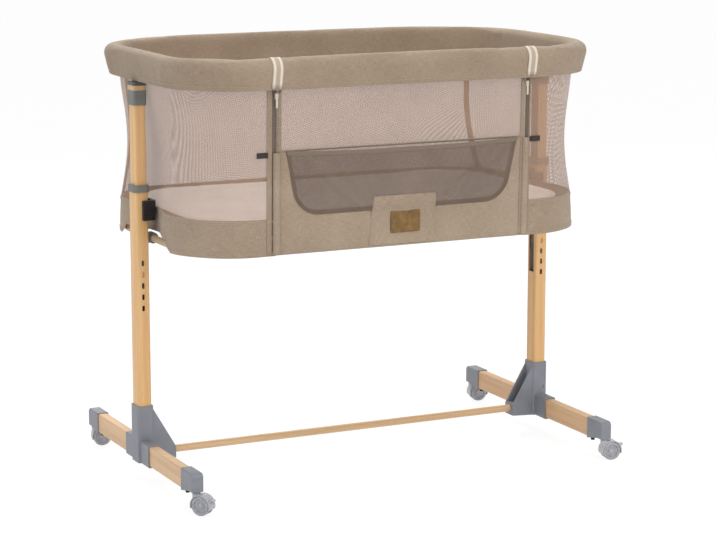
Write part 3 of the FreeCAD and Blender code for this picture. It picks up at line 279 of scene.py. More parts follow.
# the masts' face towards the basket is painted dark: painted shade for the narrow shaded gap between each
# mast and the net
inner_face = float(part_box("mast_right")[0].x - MIDDLE[0] - POST_X)
tube = beech("beech_mast_painted_shade", 2)
x, y = off_post(tube)
dress(lined(tube, inner_face + 0.0006 - x, (74, 58, 46)), "mast_")
dress(beech("beech_rail", 1, (222, 186, 144), (196, 157, 114)).material, "foot_rail_")
dress(beech("beech_bar", 0, (224, 190, 147), (201, 165, 123)).material, "crossbar")

# ----------------------------------------
# Moulded plastic. Grey sockets and end caps with a fine spark-eroded grain, darker collars and
# carriers, black levers and blocks, and the pale casters.


def moulded(name, shade, rough=0.5, grain=1500.0, depth=0.00006):
    """Moulded plastic with a fine even grain, and a slight drift of tone where hands and mould polish it."""
    skin = Finish(name)
    at = skin.place()
    fine = skin.noise(at, grain, 2.0, 0.6)
    drift = skin.noise(at, 14.0, 3.0, 0.5)
    return skin.looks((drift - 0.3) * 2.2 + (fine - 0.5) * 0.5, [v * 0.95 for v in shade],
                      [min(v * 1.05 + 3, 255) for v in shade], rough - 0.06 + drift * 0.14, fine, depth, 0.6)


dress(moulded("grey_moulding", (128, 131, 139)), "socket_", "end_cap_front_", "end_cap_back_")
dress(moulded("collar_moulding", (112, 112, 108)), "mouth_collar_", "mast_collar_", "carrier_")
dress(moulded("black_moulding", (26, 26, 28), 0.42), "latch_block_", "release_lever_")
dress(moulded("mast_foot_moulding", (70, 66, 60)), "mast_foot_")
dress(moulded("bumper_rubber", (30, 30, 31), 0.75), "bumpers")
dress(moulded("caster_moulding", (176, 177, 182), 0.36, 900.0, 0.00004), "caster_fork_front_",
      "caster_fork_back_", "brake_pedal_")


def speckled(name, spots, start, gain, dark, light, rough, swing, relief, **sockets):
    """A finish where one noise drives tone, gloss and relief.

    The tone goes from dark to light by gain where the noise rises above start, and the roughness swings
    with the noise.
    """
    skin = Finish(name, **sockets)
    noise = skin.noise(skin.place(), *spots)
    return skin.looks((noise - start) * gain, dark, light, rough + noise * swing, noise, *relief)


dress(speckled("caster_tread", (160.0, 4.0, 0.7), 0.42, 3, (150, 151, 157), (182, 183, 188), 0.4, 0.2,
               (0.00008, 0.4)), "caster_wheel_front_", "caster_wheel_back_")

# the heads: grey moulding that runs on from the collar, a band of foil, and bare dark moulding above
FOIL_LOW, FOIL_HIGH = 0.7762, 0.7850
head = Finish("head_moulding")
height = head.place().axis(2)
upper, lower = ((height - FOIL_HIGH) * 4000).clamped(), ((FOIL_LOW - height) * 4000).clamped()
grain = head.noise(head.place((95, 95, 2.4)), 1.0, 5.0, 0.6, 0.35)
foil = head.mix(((grain - 0.36) * 2.6).clamped(), (190, 152, 110), (216, 180, 138))
bare = head.mix(upper, foil, (84, 82, 84))
dress(head.looks(lower, bare, (114, 114, 111), 0.45, grain, 0.00008, 0.4), "head_")

# ----------------------------------------
# Base frame under the mattress: a powder-coated steel loop and two slats, with the thin board on them.

coat = Finish("powder_coat")
peel = coat.noise(coat.place(), 1100.0, 2.0, 0.5)
shade = coat.noise(coat.place(), 9.0, 2.0)
coat.looks((shade - 0.35) * 2, (168, 148, 118), (190, 170, 138), 0.4 + peel * 0.1, peel, 0.00005, 0.5)
dress(coat.material, "base_frame", "base_slats", "rim_tube")

board = Finish("fibreboard")
fibre = board.noise(board.place((160, 30, 160)), 1.0, 5.0, 0.65)
board.looks((fibre - 0.35) * 2.2, (160, 134, 100), (186, 160, 124), 0.7, fibre, 0.0001, 0.5)
dress(board.material, "base_board")

# ----------------------------------------
# Mattress. A thin foam pad in a smooth pale knitted cover with a welted seam round its top and bottom
# edge. It lies on the board, with its top level with the border's seam, and is soft at its edge.


def rounded(t, a, b, r):
    """Rounded rectangle of half sizes a and b and corner radius r, and its outward normal.

    t runs from 0 to 4, a quarter each, from the middle of the front, anticlockwise from above. In the
    first quarter it is a straight a - r, an arc of a quarter turn, and a straight b - r.
    """
    t = np.asarray(t, float) % 4
    quarter = np.floor(t).astype(int)
    share = np.where(quarter % 2 == 0, t - quarter, 1 - (t - quarter))
    straight, arc = a - r, r * np.pi / 2
    way = share * (straight + arc + b - r)
    turn = np.clip((way - straight) / r, 0, np.pi / 2)
    x = np.minimum(way, straight) + r * np.sin(turn)
    y = -(b - r) - r * np.cos(turn) + np.maximum(way - straight - arc, 0)
    right = np.where((quarter == 0) | (quarter == 1), 1, -1)
    front = np.where((quarter == 0) | (quarter == 3), 1, -1)
    return np.stack([x * right, y * front], -1), np.stack([np.sin(turn) * right, -np.cos(turn) * front], -1)


def joined(*parts):
    """Points from their coordinates, which are arrays of matching shapes."""
    return np.stack(np.broadcast_arrays(*parts), -1)


def way_along(line):
    """Length along a line of points, in metres."""
    return np.concatenate([[0], np.linalg.norm(np.diff(line, axis=0), axis=1).cumsum()])


def added(name, points, faces):
    """A new piece in the scene. Its points are given in metres from the middle between the posts."""
    made = bpy.data.meshes.new(name)
    made.from_pydata((points + MIDDLE).reshape(-1, 3).tolist(), [], faces)
    thing = bpy.data.objects.new(name, made)
    scene.collection.objects.link(thing)
    return thing


def surface(name, grid, cloth, wrap=(False, False), caps=False):
    """A piece of quads over a grid of points.

    Rows run up or outwards and columns anticlockwise from above, which turns the faces outwards. cloth
    holds each point's place on the flat cloth in metres, with one more row or column where the grid
    closes on itself. caps closes the first and the last row.
    """
    rows, columns = grid.shape[:2]
    i, j = np.meshgrid(np.arange(rows - 1 + wrap[0]), np.arange(columns - 1 + wrap[1]), indexing="ij")
    corners = [(i, j), (i, j + 1), (i + 1, j + 1), (i + 1, j)]
    faces = np.stack([(p % rows) * columns + q % columns for p, q in corners], -1).reshape(-1, 4).tolist()
    places = np.stack([cloth[p, q] for p, q in corners], -2).reshape(-1, 2)
    if caps:
        ring = np.arange(columns)
        faces += [ring[::-1].tolist(), (ring + (rows - 1) * columns).tolist()]
        flat = np.concatenate([grid[0, ::-1, :2], grid[-1, :, :2]])
        places = np.concatenate([places, flat])
    thing = added(name, grid, faces)
    layer = thing.data.uv_layers.new(name="cloth")
    layer.data.foreach_set("uv", places.astype(np.float32).ravel())
    thing.data.polygons.foreach_set("use_smooth", np.ones(len(faces), bool))
    thing.data.update()
    return thing


def finish(thing, material, body, slot, *replaced, thick=0.0, rounds=0):
    """Gives a new piece its material, wall and body, and hides the CAD pieces it stands for. slot is not
    used.
    """
    thing.data.materials.append(material)
    if rounds:
        sub = thing.modifiers.new("rounding", "SUBSURF")
        sub.levels = sub.render_levels = rounds
    if thick:
        wall = thing.modifiers.new("thickness", "SOLIDIFY")
        wall.thickness, wall.offset = thick, -1
    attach(thing, body)
    if replaced:
        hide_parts(*replaced)


def puffed(thing, held, pressure, cap, ease, steps=20):
    """Lets the cover of a padded piece settle as cloth under the pressure of its filling.

    held says how firmly each point is sewn down, 0 to 1, ease is the spare length of the cloth as a
    share, and no point moves further than cap, in metres.
    """
    group = thing.vertex_groups.new(name="sewn")
    for level in np.unique(held[held > 0]):
        group.add(np.flatnonzero(held == level).tolist(), float(level), "REPLACE")
    rest = np.empty(len(thing.data.vertices) * 3, np.float32)
    now = np.empty_like(rest)
    thing.data.vertices.foreach_get("co", rest)
    cloth = thing.modifiers.new("cloth", "CLOTH")
    for key, value in {"quality": 4, "mass": 0.25, "tension_stiffness": 15, "compression_stiffness": 15,
                       "shear_stiffness": 6, "bending_stiffness": 0.4, "use_pressure": True,
                       "uniform_pressure_force": pressure, "vertex_group_mass": "sewn",
                       "shrink_min": -ease}.items():
        setattr(cloth.settings, key, value)
    cloth.settings.effector_weights.gravity = 0
    cloth.collision_settings.use_collision = False
    cloth.collision_settings.use_self_collision = False
    cloth.point_cache.frame_end = steps
    for step in range(1, steps + 1):
        scene.frame_set(step)
    settled = thing.evaluated_get(bpy.context.evaluated_depsgraph_get())
    settled.data.vertices.foreach_get("co", now)
    thing.modifiers.remove(cloth)
    thing.vertex_groups.remove(group)
    scene.frame_set(1)
    moved = (now - rest).reshape(-1, 3)
    reach = np.linalg.norm(moved, axis=1, keepdims=True)
    moved *= cap * np.tanh(reach / cap) / np.maximum(reach, 1e-9)
    thing.data.vertices.foreach_set("co", rest + moved.ravel())
    thing.data.update()


pad_low, pad_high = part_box("mattress")
pad_long, pad_deep = (pad_high.x - pad_low.x) / 2, (pad_high.y - pad_low.y) / 2
pad_tall = pad_high.z - pad_low.z
t = np.linspace(0, 4, 241)
# across the pad from under it, round the side and in over the top: inset from the edge, and height
side = np.array([
    (0.150, 0), (0.080, 0), (0.040, 0), (0.012, 0.0004), (0.005, 0.0025), (0.0012, 0.0065), (0, 0.012),
    (0, 0.017), (0.0012, 0.0215), (0.0045, 0.0252), (0.010, 0.0273), (0.018, 0.028), (0.030, 0.028),
    (0.050, 0.028), (0.075, 0.028), (0.105, 0.028), (0.135, 0.028), (0.165, 0.028), (0.195, 0.028),
    (0.220, 0.028)])
side[:, 1] *= pad_tall / 0.028
edge = [rounded(t[:-1], pad_long - i, pad_deep - i, max(0.114 - i, 0.006))[0] for i in side[:, 0]]
grid = np.stack([np.column_stack([e, np.full(len(e), pad_low.z + h)]) for e, h in zip(edge, side[:, 1])])
mattress = surface("mattress_pad", grid, joined(t * 0.58, way_along(side)[:, None]), (False, True), caps=True)
held = np.repeat(np.where(side[:, 1] < 0.004, 1.0, np.where(side[:, 0] < 0.008, 0.4, 0.0)), len(t) - 1)
puffed(mattress, held, 0.8, 0.0022, 0.008)

knit = Finish("mattress_knit", Sheen_Weight=0.25, Sheen_Roughness=0.5)
at = knit.place()
ribs, rows = at.axis(0).waves(0.0016), at.axis(1).waves(0.0021)
soft = knit.noise(at, 11.0, 3.0)
knit.looks((soft - 0.35) * 2.4, (228, 220, 214), (240, 235, 229), 0.78 + ribs * 0.03, ribs * rows + soft * 3,
           0.00025, 0.6)
finish(mattress, knit.material, "carriage", "mattress_cover", "mattress")


def cord_round(name, line, radius, sides=10, closed=True):
    """A round cord along a line of points: a circle carried along it, upright in the line's own frame."""
    ahead = np.roll(line, -1, 0) - np.roll(line, 1, 0) if closed else np.gradient(line, axis=0)
    ahead /= np.linalg.norm(ahead, axis=1, keepdims=True)
    out = np.cross(ahead, [0, 0, 1.0])
    out /= np.maximum(np.linalg.norm(out, axis=1, keepdims=True), 1e-9)
    up = np.cross(out, ahead)
    turn = np.linspace(0, 2 * np.pi, sides + 1)[:, None, None]
    points = line + radius * (np.cos(turn[:-1]) * out + np.sin(turn[:-1]) * up)
    way = way_along(line)
    if closed:
        way = np.append(way, way[-1] * 1.005)
    return surface(name, points, joined(way, turn[..., 0] * radius), (True, closed))


# the welt: a cord in a folded strip, sewn in round the top and the bottom edge of the cover
for name, up in (("mattress_welt_top", pad_tall - 0.0058), ("mattress_welt_bottom", 0.0058)):
    line = rounded(t[:-1], pad_long - 0.0020, pad_deep - 0.0020, 0.112)[0]
    welt = cord_round(name, np.column_stack([line, np.full(len(line), pad_low.z + up)]), 0.0021)
    finish(welt, knit.material, "carriage", "mattress_cover")

# ----------------------------------------
# Cloth of the walls, rim and drop-down front: a melange polyester in a linen weave. Beige and brown
# threads of uneven thickness run both ways, so the cloth shows short slubs along and across.


def linen(name, light, dark, thread=0.00062):
    """Linen-look cloth.

    The weave is the product of two sines along and across the cloth, and the slubs are noise drawn out
    along each set of threads. Slow noise gives the cloth its soft unevenness.
    """
    skin = Finish(name, Sheen_Weight=0.18, Sheen_Roughness=0.45, Specular_IOR_Level=0.25)
    at = skin.place(along_cloth=True)
    weave = at.axis(0).waves(thread) * at.axis(1).waves(thread)
    warp = skin.noise(skin.place((1500, 90, 1), along_cloth=True), 1.0, 2.0, 0.6)
    weft = skin.noise(skin.place((80, 1500, 1), along_cloth=True), 1.0, 2.0, 0.6)
    slow = skin.noise(skin.place(), 9.0, 3.0, 0.55)
    tone = ((warp - 0.5) * 1.5 + (weft - 0.5) * 1.7 + (slow - 0.5) * 0.9 + weave * 0.12 + 0.5).clamped()
    relief = weave * 0.5 + warp + weft + slow * 2.8
    return skin.looks(tone, dark, light, 0.82 + tone * 0.08, relief, 0.0003, 0.55)


wall_linen = linen("linen_wall", (178, 160, 140), (141, 123, 104))
rim_linen = linen("linen_rim", (172, 154, 133), (136, 118, 99))
# the lining is the rim's linen painted darker, as painted shade
lining = linen("linen_lining_painted_shade", (165, 147, 126), (130, 112, 93))
panel_linen = linen("linen_panel", (180, 162, 142), (143, 125, 106))
strip_linen = linen("linen_binding", (172, 153, 133), (137, 118, 99))


def net(name, light, dark, pitch, hole, degrees):
    """Knitted net: round holes on a triangular grid, cut out of the sheet by its alpha.

    A point's distance to the nearest hole is the smaller of its distances to two oblong grids, one
    shifted by half a step both ways. degrees is how far the piece is turned on the roll when it is cut.
    """
    skin = Finish(name, Sheen_Weight=0.1, Specular_IOR_Level=0.3)
    at = skin.place(along_cloth=True, turn=math.radians(degrees))
    away = []
    for shift in (0.0, 0.5):
        x = (at.axis(0) / pitch + shift).maths("FRACT") - 0.5
        y = ((at.axis(1) / (pitch * math.sqrt(3)) + shift).maths("FRACT") - 0.5) * math.sqrt(3)
        away.append((x * x + y * y).maths("SQRT"))
    yarn = ((away[0].maths("MINIMUM", away[1]) - hole + 0.04) * 12.0).clamped()
    slow = skin.noise(skin.place(), 14.0, 3.0)
    strand = skin.noise(skin.place((900, 900, 1), along_cloth=True), 1.0, 2.0)
    skin.set(Alpha=yarn)
    return skin.looks((slow - 0.5) * 1.2 + (strand - 0.5) * 1.3 + 0.5, dark, light, 0.7 + strand * 0.1,
                      yarn + strand * 0.4, 0.0004, 0.6)


wall_net, end_net, back_net = [net(name, (180, 150, 130), (158, 129, 110), 0.0016, 0.345, degrees)
                               for name, degrees in (("net_wall", 0), ("net_end", 20), ("net_back", 40))]
pocket_net = net("net_pocket", (123, 105, 92), (103, 86, 74), 0.0011, 0.235, 20)

# ----------------------------------------
# Walls: knitted net from the zips round the ends and the back, sewn to a linen border that is pulled
# over the base frame. Both are drawn in round the posts at the ends and lean out to the rim.

HEM, SEAM, RIM_LOW, ROOF = 0.475, 0.545, 0.793, 0.845
# how deep the ends are drawn in at a height, and how far out the ends stand at a height in decimetres
TUCK = np.array([(0.475, 0.024), (0.545, 0.0192), (0.600, 0.016), (0.695, 0.008), (0.744, 0.004),
                 (0.793, 0.0002)])
BULGE = np.polyfit([5.45, 6.0, 6.95, 7.44, 7.93], [0.436, 0.426, 0.422, 0.428, 0.4333], 4)
ZIP_SIDE = 0.269


def front_face(z):
    """Distance of the front of the walls from the middle: it leans out evenly up to the rim."""
    return 0.251 + 0.0083 * (z - HEM) / (ROOF - HEM)


def on_front(x, z, out):
    """Points at X and height laid on the front face, and out from it."""
    return joined(x, -front_face(z) - out, z)


def crowned(count):
    """A low arch over a strip: 0 at its edges and 1 on its middle."""
    return 1 - np.linspace(-1, 1, count) ** 2


def wall_line(z):
    """The walls' outline at heights z, as rows of points from the right zip round the back to the left one.

    A quarter is a straight front, a corner arc of radius r about (a - r, b - r), and half of a wide arc
    that bows inwards to a - c at the post. The wide arc's middle lies outside on the X axis, where the
    three run into each other without a kink.
    """
    z = np.asarray(z, float)[:, None]
    below = 0.440 - 0.004 * (z - HEM) / (SEAM - HEM)
    a = np.where(z < SEAM, below, np.polyval(BULGE, np.minimum(z, RIM_LOW) * 10))
    b = front_face(z)
    c = np.interp(z, TUCK[:, 0], TUCK[:, 1])
    r = 0.135 + 0.0063 * np.minimum((z - HEM) / (RIM_LOW - HEM), 1)
    x, y = a - r, b - r
    u = a + (y * y - c * c) / (2 * c) - r
    wide, turn = u - a + c, np.arctan2(y, u - x)
    s = [np.linspace(0, 1, n)[:-1] for n in (14, 19, 31)]
    bend = -np.pi / 2 + (turn + np.pi / 2) * s[1]
    bow = turn * (1 - 2 * s[2])
    back = turn + (-np.pi / 2 - turn) * s[1]
    right = np.concatenate([
        joined(ZIP_SIDE + (x - ZIP_SIDE) * s[0], -b),
        joined(x + r * np.cos(bend), -y + r * np.sin(bend)),
        joined(u - wide * np.cos(bow), -wide * np.sin(bow)),
        joined(x + r * np.cos(back), y - r * np.sin(back))], 1)
    middle = joined(x * (1 - 2 * np.linspace(0, 1, 41)), b)
    return np.concatenate([right, middle, right[:, ::-1] * [-1, 1]], 1)


def outward(line):
    """Unit normals of outlines that run anticlockwise, pointing out."""
    ahead = np.gradient(line, axis=1)
    ahead /= np.maximum(np.linalg.norm(ahead, axis=-1, keepdims=True), 1e-9)
    return np.stack([ahead[..., 1], -ahead[..., 0]], -1)


z = np.concatenate([np.linspace(SEAM - 0.004, RIM_LOW, 34), [0.803, 0.815]])[:, None]
line = wall_line(z[:, 0])
way = way_along(line[20])
# the net is stretched, but eases into shallow hollows between the rim and the border
between = np.sin(np.pi * np.clip((z - SEAM) / (RIM_LOW - SEAM), 0, 1))
ripple = 0.0009 * np.sin(way * 31 + 1.3 * np.sin(way * 7)) * between
line += outward(line) * (ripple - 0.0005)[..., None]
net_wall = surface("net_wall", joined(line[..., 0], line[..., 1], z), joined(way, z - SEAM))
finish(net_wall, wall_net, "carriage", "mesh", "mesh_wall")
# it is sewn from front, end and back pieces, each cut its own way out of the roll
net_wall.data.materials.append(end_net)
net_wall.data.materials.append(back_net)
x, y = line[20, 1:].T
piece = ((y > -0.112).astype(np.int32) + (np.abs(x) < 0.391) * (y > 0.1)).astype(np.int32)
net_wall.data.polygons.foreach_set("material_index", np.tile(piece, len(z) - 1))

# the border's hem is turned up, and is cut higher where the carriers come through at the ends
share = np.array([0, 0.02, 0.10, 0.13, 0.15, 0.3, 0.5, 0.7, 0.88, 0.93, 0.97, 1.0])[:, None]
swell = np.array([-12, 2, 6, -2, -3, 0, 2, 0, -1, 7, 5, -13])[:, None] / 10000
x, y = np.abs(wall_line([0.495])[0]).T
raised = 0.021 / (1 + np.exp((y - 0.121) / 0.0022)) * (x > 0.3)
hem_at, border_top = HEM + raised, SEAM + 0.002
heights = hem_at + share * (border_top - hem_at)
levels = np.linspace(HEM, border_top, 30)
stack = wall_line(levels)
spot = (heights - HEM) / (border_top - HEM) * (len(levels) - 1)
below = np.clip(spot.astype(int), 0, len(levels) - 2)
part = (spot - below)[..., None]
column = np.arange(heights.shape[1])
line = stack[below, column] * (1 - part) + stack[below + 1, column] * part
pull = 0.0008 * np.sin(way * 43 + 2 * np.sin(way * 11)) * (1 - share)
line += outward(line) * (swell + pull)[..., None]
border = surface("wall_border", joined(line[..., 0], line[..., 1], heights), joined(way, heights - HEM))
finish(border, wall_linen, "carriage", "linen", "border", thick=0.0022)

# seam strips over the net, where the end and back panels meet
for name, x0, x1 in (("seam_strip_right", 0.387, 0.395), ("seam_strip_left", -0.395, -0.387)):
    z = np.linspace(SEAM, RIM_LOW + 0.006, 26)[:, None]
    line = wall_line(z[:, 0])
    back_half = np.arange(line.shape[1])[line[20, :, 1] > 0.10]
    order = back_half[np.argsort(line[20, back_half, 0])]
    spots = np.interp(np.linspace(x0, x1, 5), line[20, order, 0], order.astype(float))
    low_at = np.floor(spots).astype(int)
    part = (spots - low_at)[:, None]
    strip = line[:, low_at] * (1 - part) + line[:, low_at + 1] * part
    strip = (strip + outward(line)[:, low_at] * (0.0008 + 0.0007 * crowned(5))[:, None])[:, ::-1]
    made = surface(name, joined(strip[..., 0], strip[..., 1], z), joined(np.linspace(0, 0.008, 5), z))
    finish(made, strip_linen, "carriage", "linen", thick=0.0022)


def front_strip(name, x0, x1, z0, z1, out, material, body, dome=0.0006, thick=0.0016):
    """An upright strip of cloth on the front face between two X, crowned by dome and standing out by out."""
    x, z = np.linspace(x0, x1, 7), np.linspace(z0, z1, 40)[:, None]
    made = surface(name, on_front(x, z, out + dome * crowned(7)), joined(x - x0, z - z0))
    finish(made, material, body, "linen", thick=thick)


# bindings over the outer edge of each zip's tape
front_strip("zip_binding_left", -0.2886, -0.2782, 0.478, 0.797, 0.0012, strip_linen, "carriage")
front_strip("zip_binding_right", 0.2765, 0.2800, 0.478, 0.797, 0.0008, strip_linen, "carriage")

# ----------------------------------------
# Rim. A sleeve of the linen cloth with foam wadding, pulled over the steel loop from above. Its outer
# skirt hangs lower than its lining, and the cloth has some ease, which gathers in the corners.

rim_low, rim_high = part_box("rim_cover")
RIM_LONG, RIM_DEEP, RIM_ROUND = (rim_high.x - rim_low.x) / 2, (rim_high.y - rim_low.y) / 2, 0.170
# section from the hem of the skirt up, over the top and down the lining, then back underneath:
# inset from the outer line, and height above the floor
shape = np.array([
    (0.0085, 0.7936), (0.0080, 0.797), (0.0058, 0.808), (0.0034, 0.820), (0.0010, 0.832), (0.0020, 0.8400),
    (0.0055, 0.8462), (0.0112, 0.8505), (0.0180, 0.8526), (0.0255, 0.8518), (0.0310, 0.8488),
    (0.0344, 0.8430), (0.0352, 0.834), (0.0354, 0.822), (0.0355, 0.808), (0.0352, 0.7985),
    (0.0330, 0.7975), (0.0300, 0.803), (0.0220, 0.806), (0.0150, 0.803), (0.0108, 0.7940)])


def smooth_round(points, fine):
    """Closed curve through points: each stretch is a cubic whose ends run parallel to their neighbours."""
    step = np.arange(0, len(points), 1 / fine)
    k, s = step.astype(int), (step - step.astype(int))[:, None]
    p0, p1, p2, p3 = (points[(k + i) % len(points)] for i in (-1, 0, 1, 2))
    return 0.5 * (2 * p1 + (p2 - p0) * s + (2 * p0 - 5 * p1 + 4 * p2 - p3) * s ** 2
                  + (3 * p1 - p0 - 3 * p2 + p3) * s ** 3)


section = smooth_round(shape, 2)
deep, tall = section.T
t = np.linspace(0, 4, 561)[:-1]
outer, normal = rounded(t, RIM_LONG, RIM_DEEP, RIM_ROUND)
way = np.append(way_along(outer), 2.57)
around = way_along(section)
around = np.append(around, around[-1] + 0.004)
# the wadding is softer in places: slow waves along the rim, and gathers where it turns
slow = 0.0005 * np.sin(t * 9.1 + 1.0) + 0.0003 * np.sin(t * 23.7)
turning = np.exp(-((np.abs((t + 1) % 2 - 1) - 0.66) / 0.15) ** 2)
gather = turning * 0.0008 * np.sin(t * 118 + 2 * np.sin(t * 17))
upright = np.clip((tall - 0.800) / 0.03, 0, 1) * np.clip((0.851 - tall) / 0.012, 0, 1)
outside = np.where(deep < 0.018, -1.0, 1.0) * upright
inset = deep[:, None] + outside[:, None] * (slow + gather)
height = tall[:, None] + ((tall < 0.80) & (deep < 0.012))[:, None] * 0.0004 * np.sin(t * 14.3)
flat = outer - normal * inset[..., None]
grid = joined(flat[..., 0], flat[..., 1], height)
rim = surface("rim_cover_cloth", grid[::-1], joined(way, around[::-1, None]), (True, True))
# sewn at both hems, and held down under the two straps
STRAPS = {"left": -0.277, "right": 0.268}
strapped = np.any([np.abs(outer[:, 0] - x) < 0.013 for x in STRAPS.values()], axis=0) & (outer[:, 1] < 0)
held = np.where((tall < 0.803)[::-1, None] | strapped, 1.0, 0.0).ravel()
puffed(rim, held, 1.2, 0.0016, 0.008)
finish(rim, rim_linen, "carriage", "linen_rim", "rim_cover", rounds=1)
# the lining, from over the top edge down on the inside, is painted a shade darker: painted shade for the
# inside of the rim, in the same linen
rim.data.materials.append(lining)
rim.data.polygons.foreach_set("material_index", np.repeat(deep[::-1] > 0.0285, len(t)).astype(np.int32))

# ----------------------------------------
# Straps over the rim beside the zips: cream webbing with a lighter rib near each edge.

tape = Finish("strap_webbing", Sheen_Weight=0.1)
at = tape.place(along_cloth=True)
weave = at.axis(0).waves(0.0011) * at.axis(1).waves(0.0013)
off_rib = ((at.axis(0) - 0.011).maths("ABSOLUTE") - 0.0070).maths("ABSOLUTE")
rib = (2 - off_rib / 0.0017).clamped()
fuzz = tape.noise(tape.place((1400, 300, 1), along_cloth=True), 1.0, 2.0)
cream = tape.mix((0.5 + weave * 0.3 + (fuzz - 0.5) * 0.8).clamped(), (164, 146, 126), (192, 175, 154))
tape.looks(rib * 0.85, cream, (226, 215, 199), 0.72 + fuzz * 0.1, weave * 0.4 + rib * 2.5 + fuzz, 0.0003, 0.7)

# over the rim from just above its outer hem to just above the inner one, a little out from the cloth
over = shape[:16].copy()
over[[0, 15], 1] += 0.006, 0.003
lift = np.gradient(over, axis=0)
lift = np.stack([-lift[:, 1], lift[:, 0]], -1) / np.linalg.norm(lift, axis=1, keepdims=True)
lift *= np.sign(((over - over.mean(0)) * lift).sum(1, keepdims=True))
wide = np.linspace(-0.011, 0.011, 9)
line = over[:, None] + lift[:, None] * (0.0013 + 0.0004 * crowned(9))[:, None]
run = way_along(over)
for side, middle_x in STRAPS.items():
    grid = joined(middle_x + wide, -RIM_DEEP + line[..., 0], line[..., 1])
    strap = surface(f"rim_strap_{side}", grid, joined(wide + 0.011, run[:, None]))
    finish(strap, tape.material, "carriage", "webbing", "straps", thick=0.0012)

# ----------------------------------------
# Drop-down front between the zips: a linen panel round a window, with net above it and in the window.

PANEL, PANEL_LOW, PANEL_TOP, MOUTH, FOOT = 0.266, 0.476, 0.792, 0.675, 0.549


def pocket_half(z, inset=0.0):
    """Half width of the pocket at height z: its sides narrow downwards and turn in on round corners."""
    r = 0.045 - inset
    side = 0.225 + 0.025 * (z - FOOT) / (MOUTH - FOOT) - inset
    drop = np.clip((FOOT + inset + r - z) / r, 0, 1)
    return side - r + r * np.sqrt(np.maximum(1 - drop ** 2, 0))


# the linen runs round the window in a U: from its edge on the left, down, along and up on the right.
# The window is that much smaller than the pocket all round
LAP = 0.009
window_low = FOOT + LAP
dip = window_low + (MOUTH - window_low) * (1 - np.sin(np.linspace(0, np.pi / 2, 40)))
sill_half = float(pocket_half(window_low, LAP))
left = joined(-pocket_half(dip, LAP), dip)
sill = joined(np.linspace(-sill_half, sill_half, 42)[1:-1], window_low)
window = np.concatenate([left, sill, left[::-1] * [-1, 1]])
corner_at = 30
down = joined(-PANEL, np.linspace(MOUTH, PANEL_LOW, corner_at))
bottom = joined(np.linspace(-PANEL, PANEL, len(window) - 2 * corner_at + 2)[1:-1], PANEL_LOW)
frame_edge = np.concatenate([down, bottom, down[::-1] * [-1, 1]])
reach = np.array([0, 0.03, 0.08, 0.2, 0.4, 0.6, 0.8, 0.92, 0.97, 1.0])[:, None, None]
flat = window * (1 - reach) + frame_edge * reach
x, z = flat[..., 0], flat[..., 1]
grid = on_front(x, z, 0.0011 * np.sin(np.pi * reach[..., 0]) + 0.0005 * np.sin(x * 47) * np.sin(z * 61))
panel = surface("panel_linen", grid[::-1], flat[::-1] + [0.3, 0])
finish(panel, panel_linen, "drop_panel", "linen", "panel_border", thick=0.0022)

x, z = np.linspace(-PANEL, PANEL, 61), np.linspace(FOOT, PANEL_TOP, 34)[:, None]
hollow = 0.0014 * np.sin(x * 29 + 1.0) * np.sin(np.pi * np.clip((z - MOUTH) / 0.117, 0, 1))
grid = on_front(x, z, hollow * (z > MOUTH) - 0.0022)
panel_mesh = surface("panel_net", grid, joined(x + 0.3, z - FOOT))
finish(panel_mesh, wall_net, "drop_panel", "mesh", "panel_mesh")

# bindings on the panel's edges by the zips, and beside the linen a fly of the same cloth that hides each
# zip up to the window's top. It is vaulted, so that the slider runs under it
front_strip("panel_binding_right", 0.2575, 0.2662, 0.478, 0.791, 0.0016, strip_linen, "drop_panel")
front_strip("panel_binding_left", -0.2658, -0.2590, 0.478, 0.791, 0.0014, strip_linen, "drop_panel")
for name, x0, x1 in (("zip_fly_left", -0.2768, -0.2610), ("zip_fly_right", 0.2610, 0.2768)):
    front_strip(name, x0, x1, 0.4775, MOUTH - 0.002, 0.0018, panel_linen, "drop_panel", 0.0056, 0.0011)

# the narrow binding along the window's top
x, z = np.linspace(-PANEL, PANEL, 60), np.linspace(MOUTH - 0.0016, MOUTH + 0.0020, 6)[:, None]
grid = on_front(x, z, 0.0006 + 0.0010 * crowned(6)[:, None])
seam = surface("panel_seam", grid, joined(x + 0.3, z - MOUTH))
finish(seam, strip_linen, "drop_panel", "linen", thick=0.0018)

# ----------------------------------------
# Pocket: dark double net, sewn to the panel at its sides and bottom, slack at its mouth, where a
# lighter elastic band gathers it.


def pocket_out(u, z):
    """How far the pocket stands off the panel: most in the middle of its mouth, nothing at its edges.

    Slack gathers in soft diagonal folds that run down from the mouth's corners. A fold is told by where
    it starts, how far it leans, how wide and how deep it is.
    """
    up = np.clip((z - FOOT) / (MOUTH - FOOT), 0, 1)
    full = (0.0035 + 0.0105 * up) * (1 - np.abs(u) ** 5) * np.clip((z - FOOT) / 0.012, 0, 1) ** 0.6
    fold = np.zeros(np.broadcast(u, z).shape)
    for at, lean, wide, deep in (
            (0.96, 0.62, 0.050, 0.0066), (0.76, 0.50, 0.042, 0.0038), (1.08, 0.44, 0.040, 0.0046),
            (-0.90, -0.50, 0.050, 0.0050), (-0.66, -0.36, 0.042, 0.0026), (0.08, 0.1, 0.08, 0.0014)):
        fold += deep * np.exp(-((u - at + lean * (1 - up)) / wide) ** 2)
    fold *= np.sin(np.pi * np.clip(up * 1.05, 0, 1)) ** 0.7
    return full + fold * (1 - np.abs(u) ** 7) - 0.0012 * np.sin(u * 9 + 2 * up) * up


def in_pocket(u, z, out, sag):
    """Points over the pocket: u is the share of its half width, out the way off it and sag the way down."""
    low = np.minimum(z, MOUTH)
    return joined(u * pocket_half(low), -front_face(z) - 0.0012 - pocket_out(u, low) - out, z - sag)


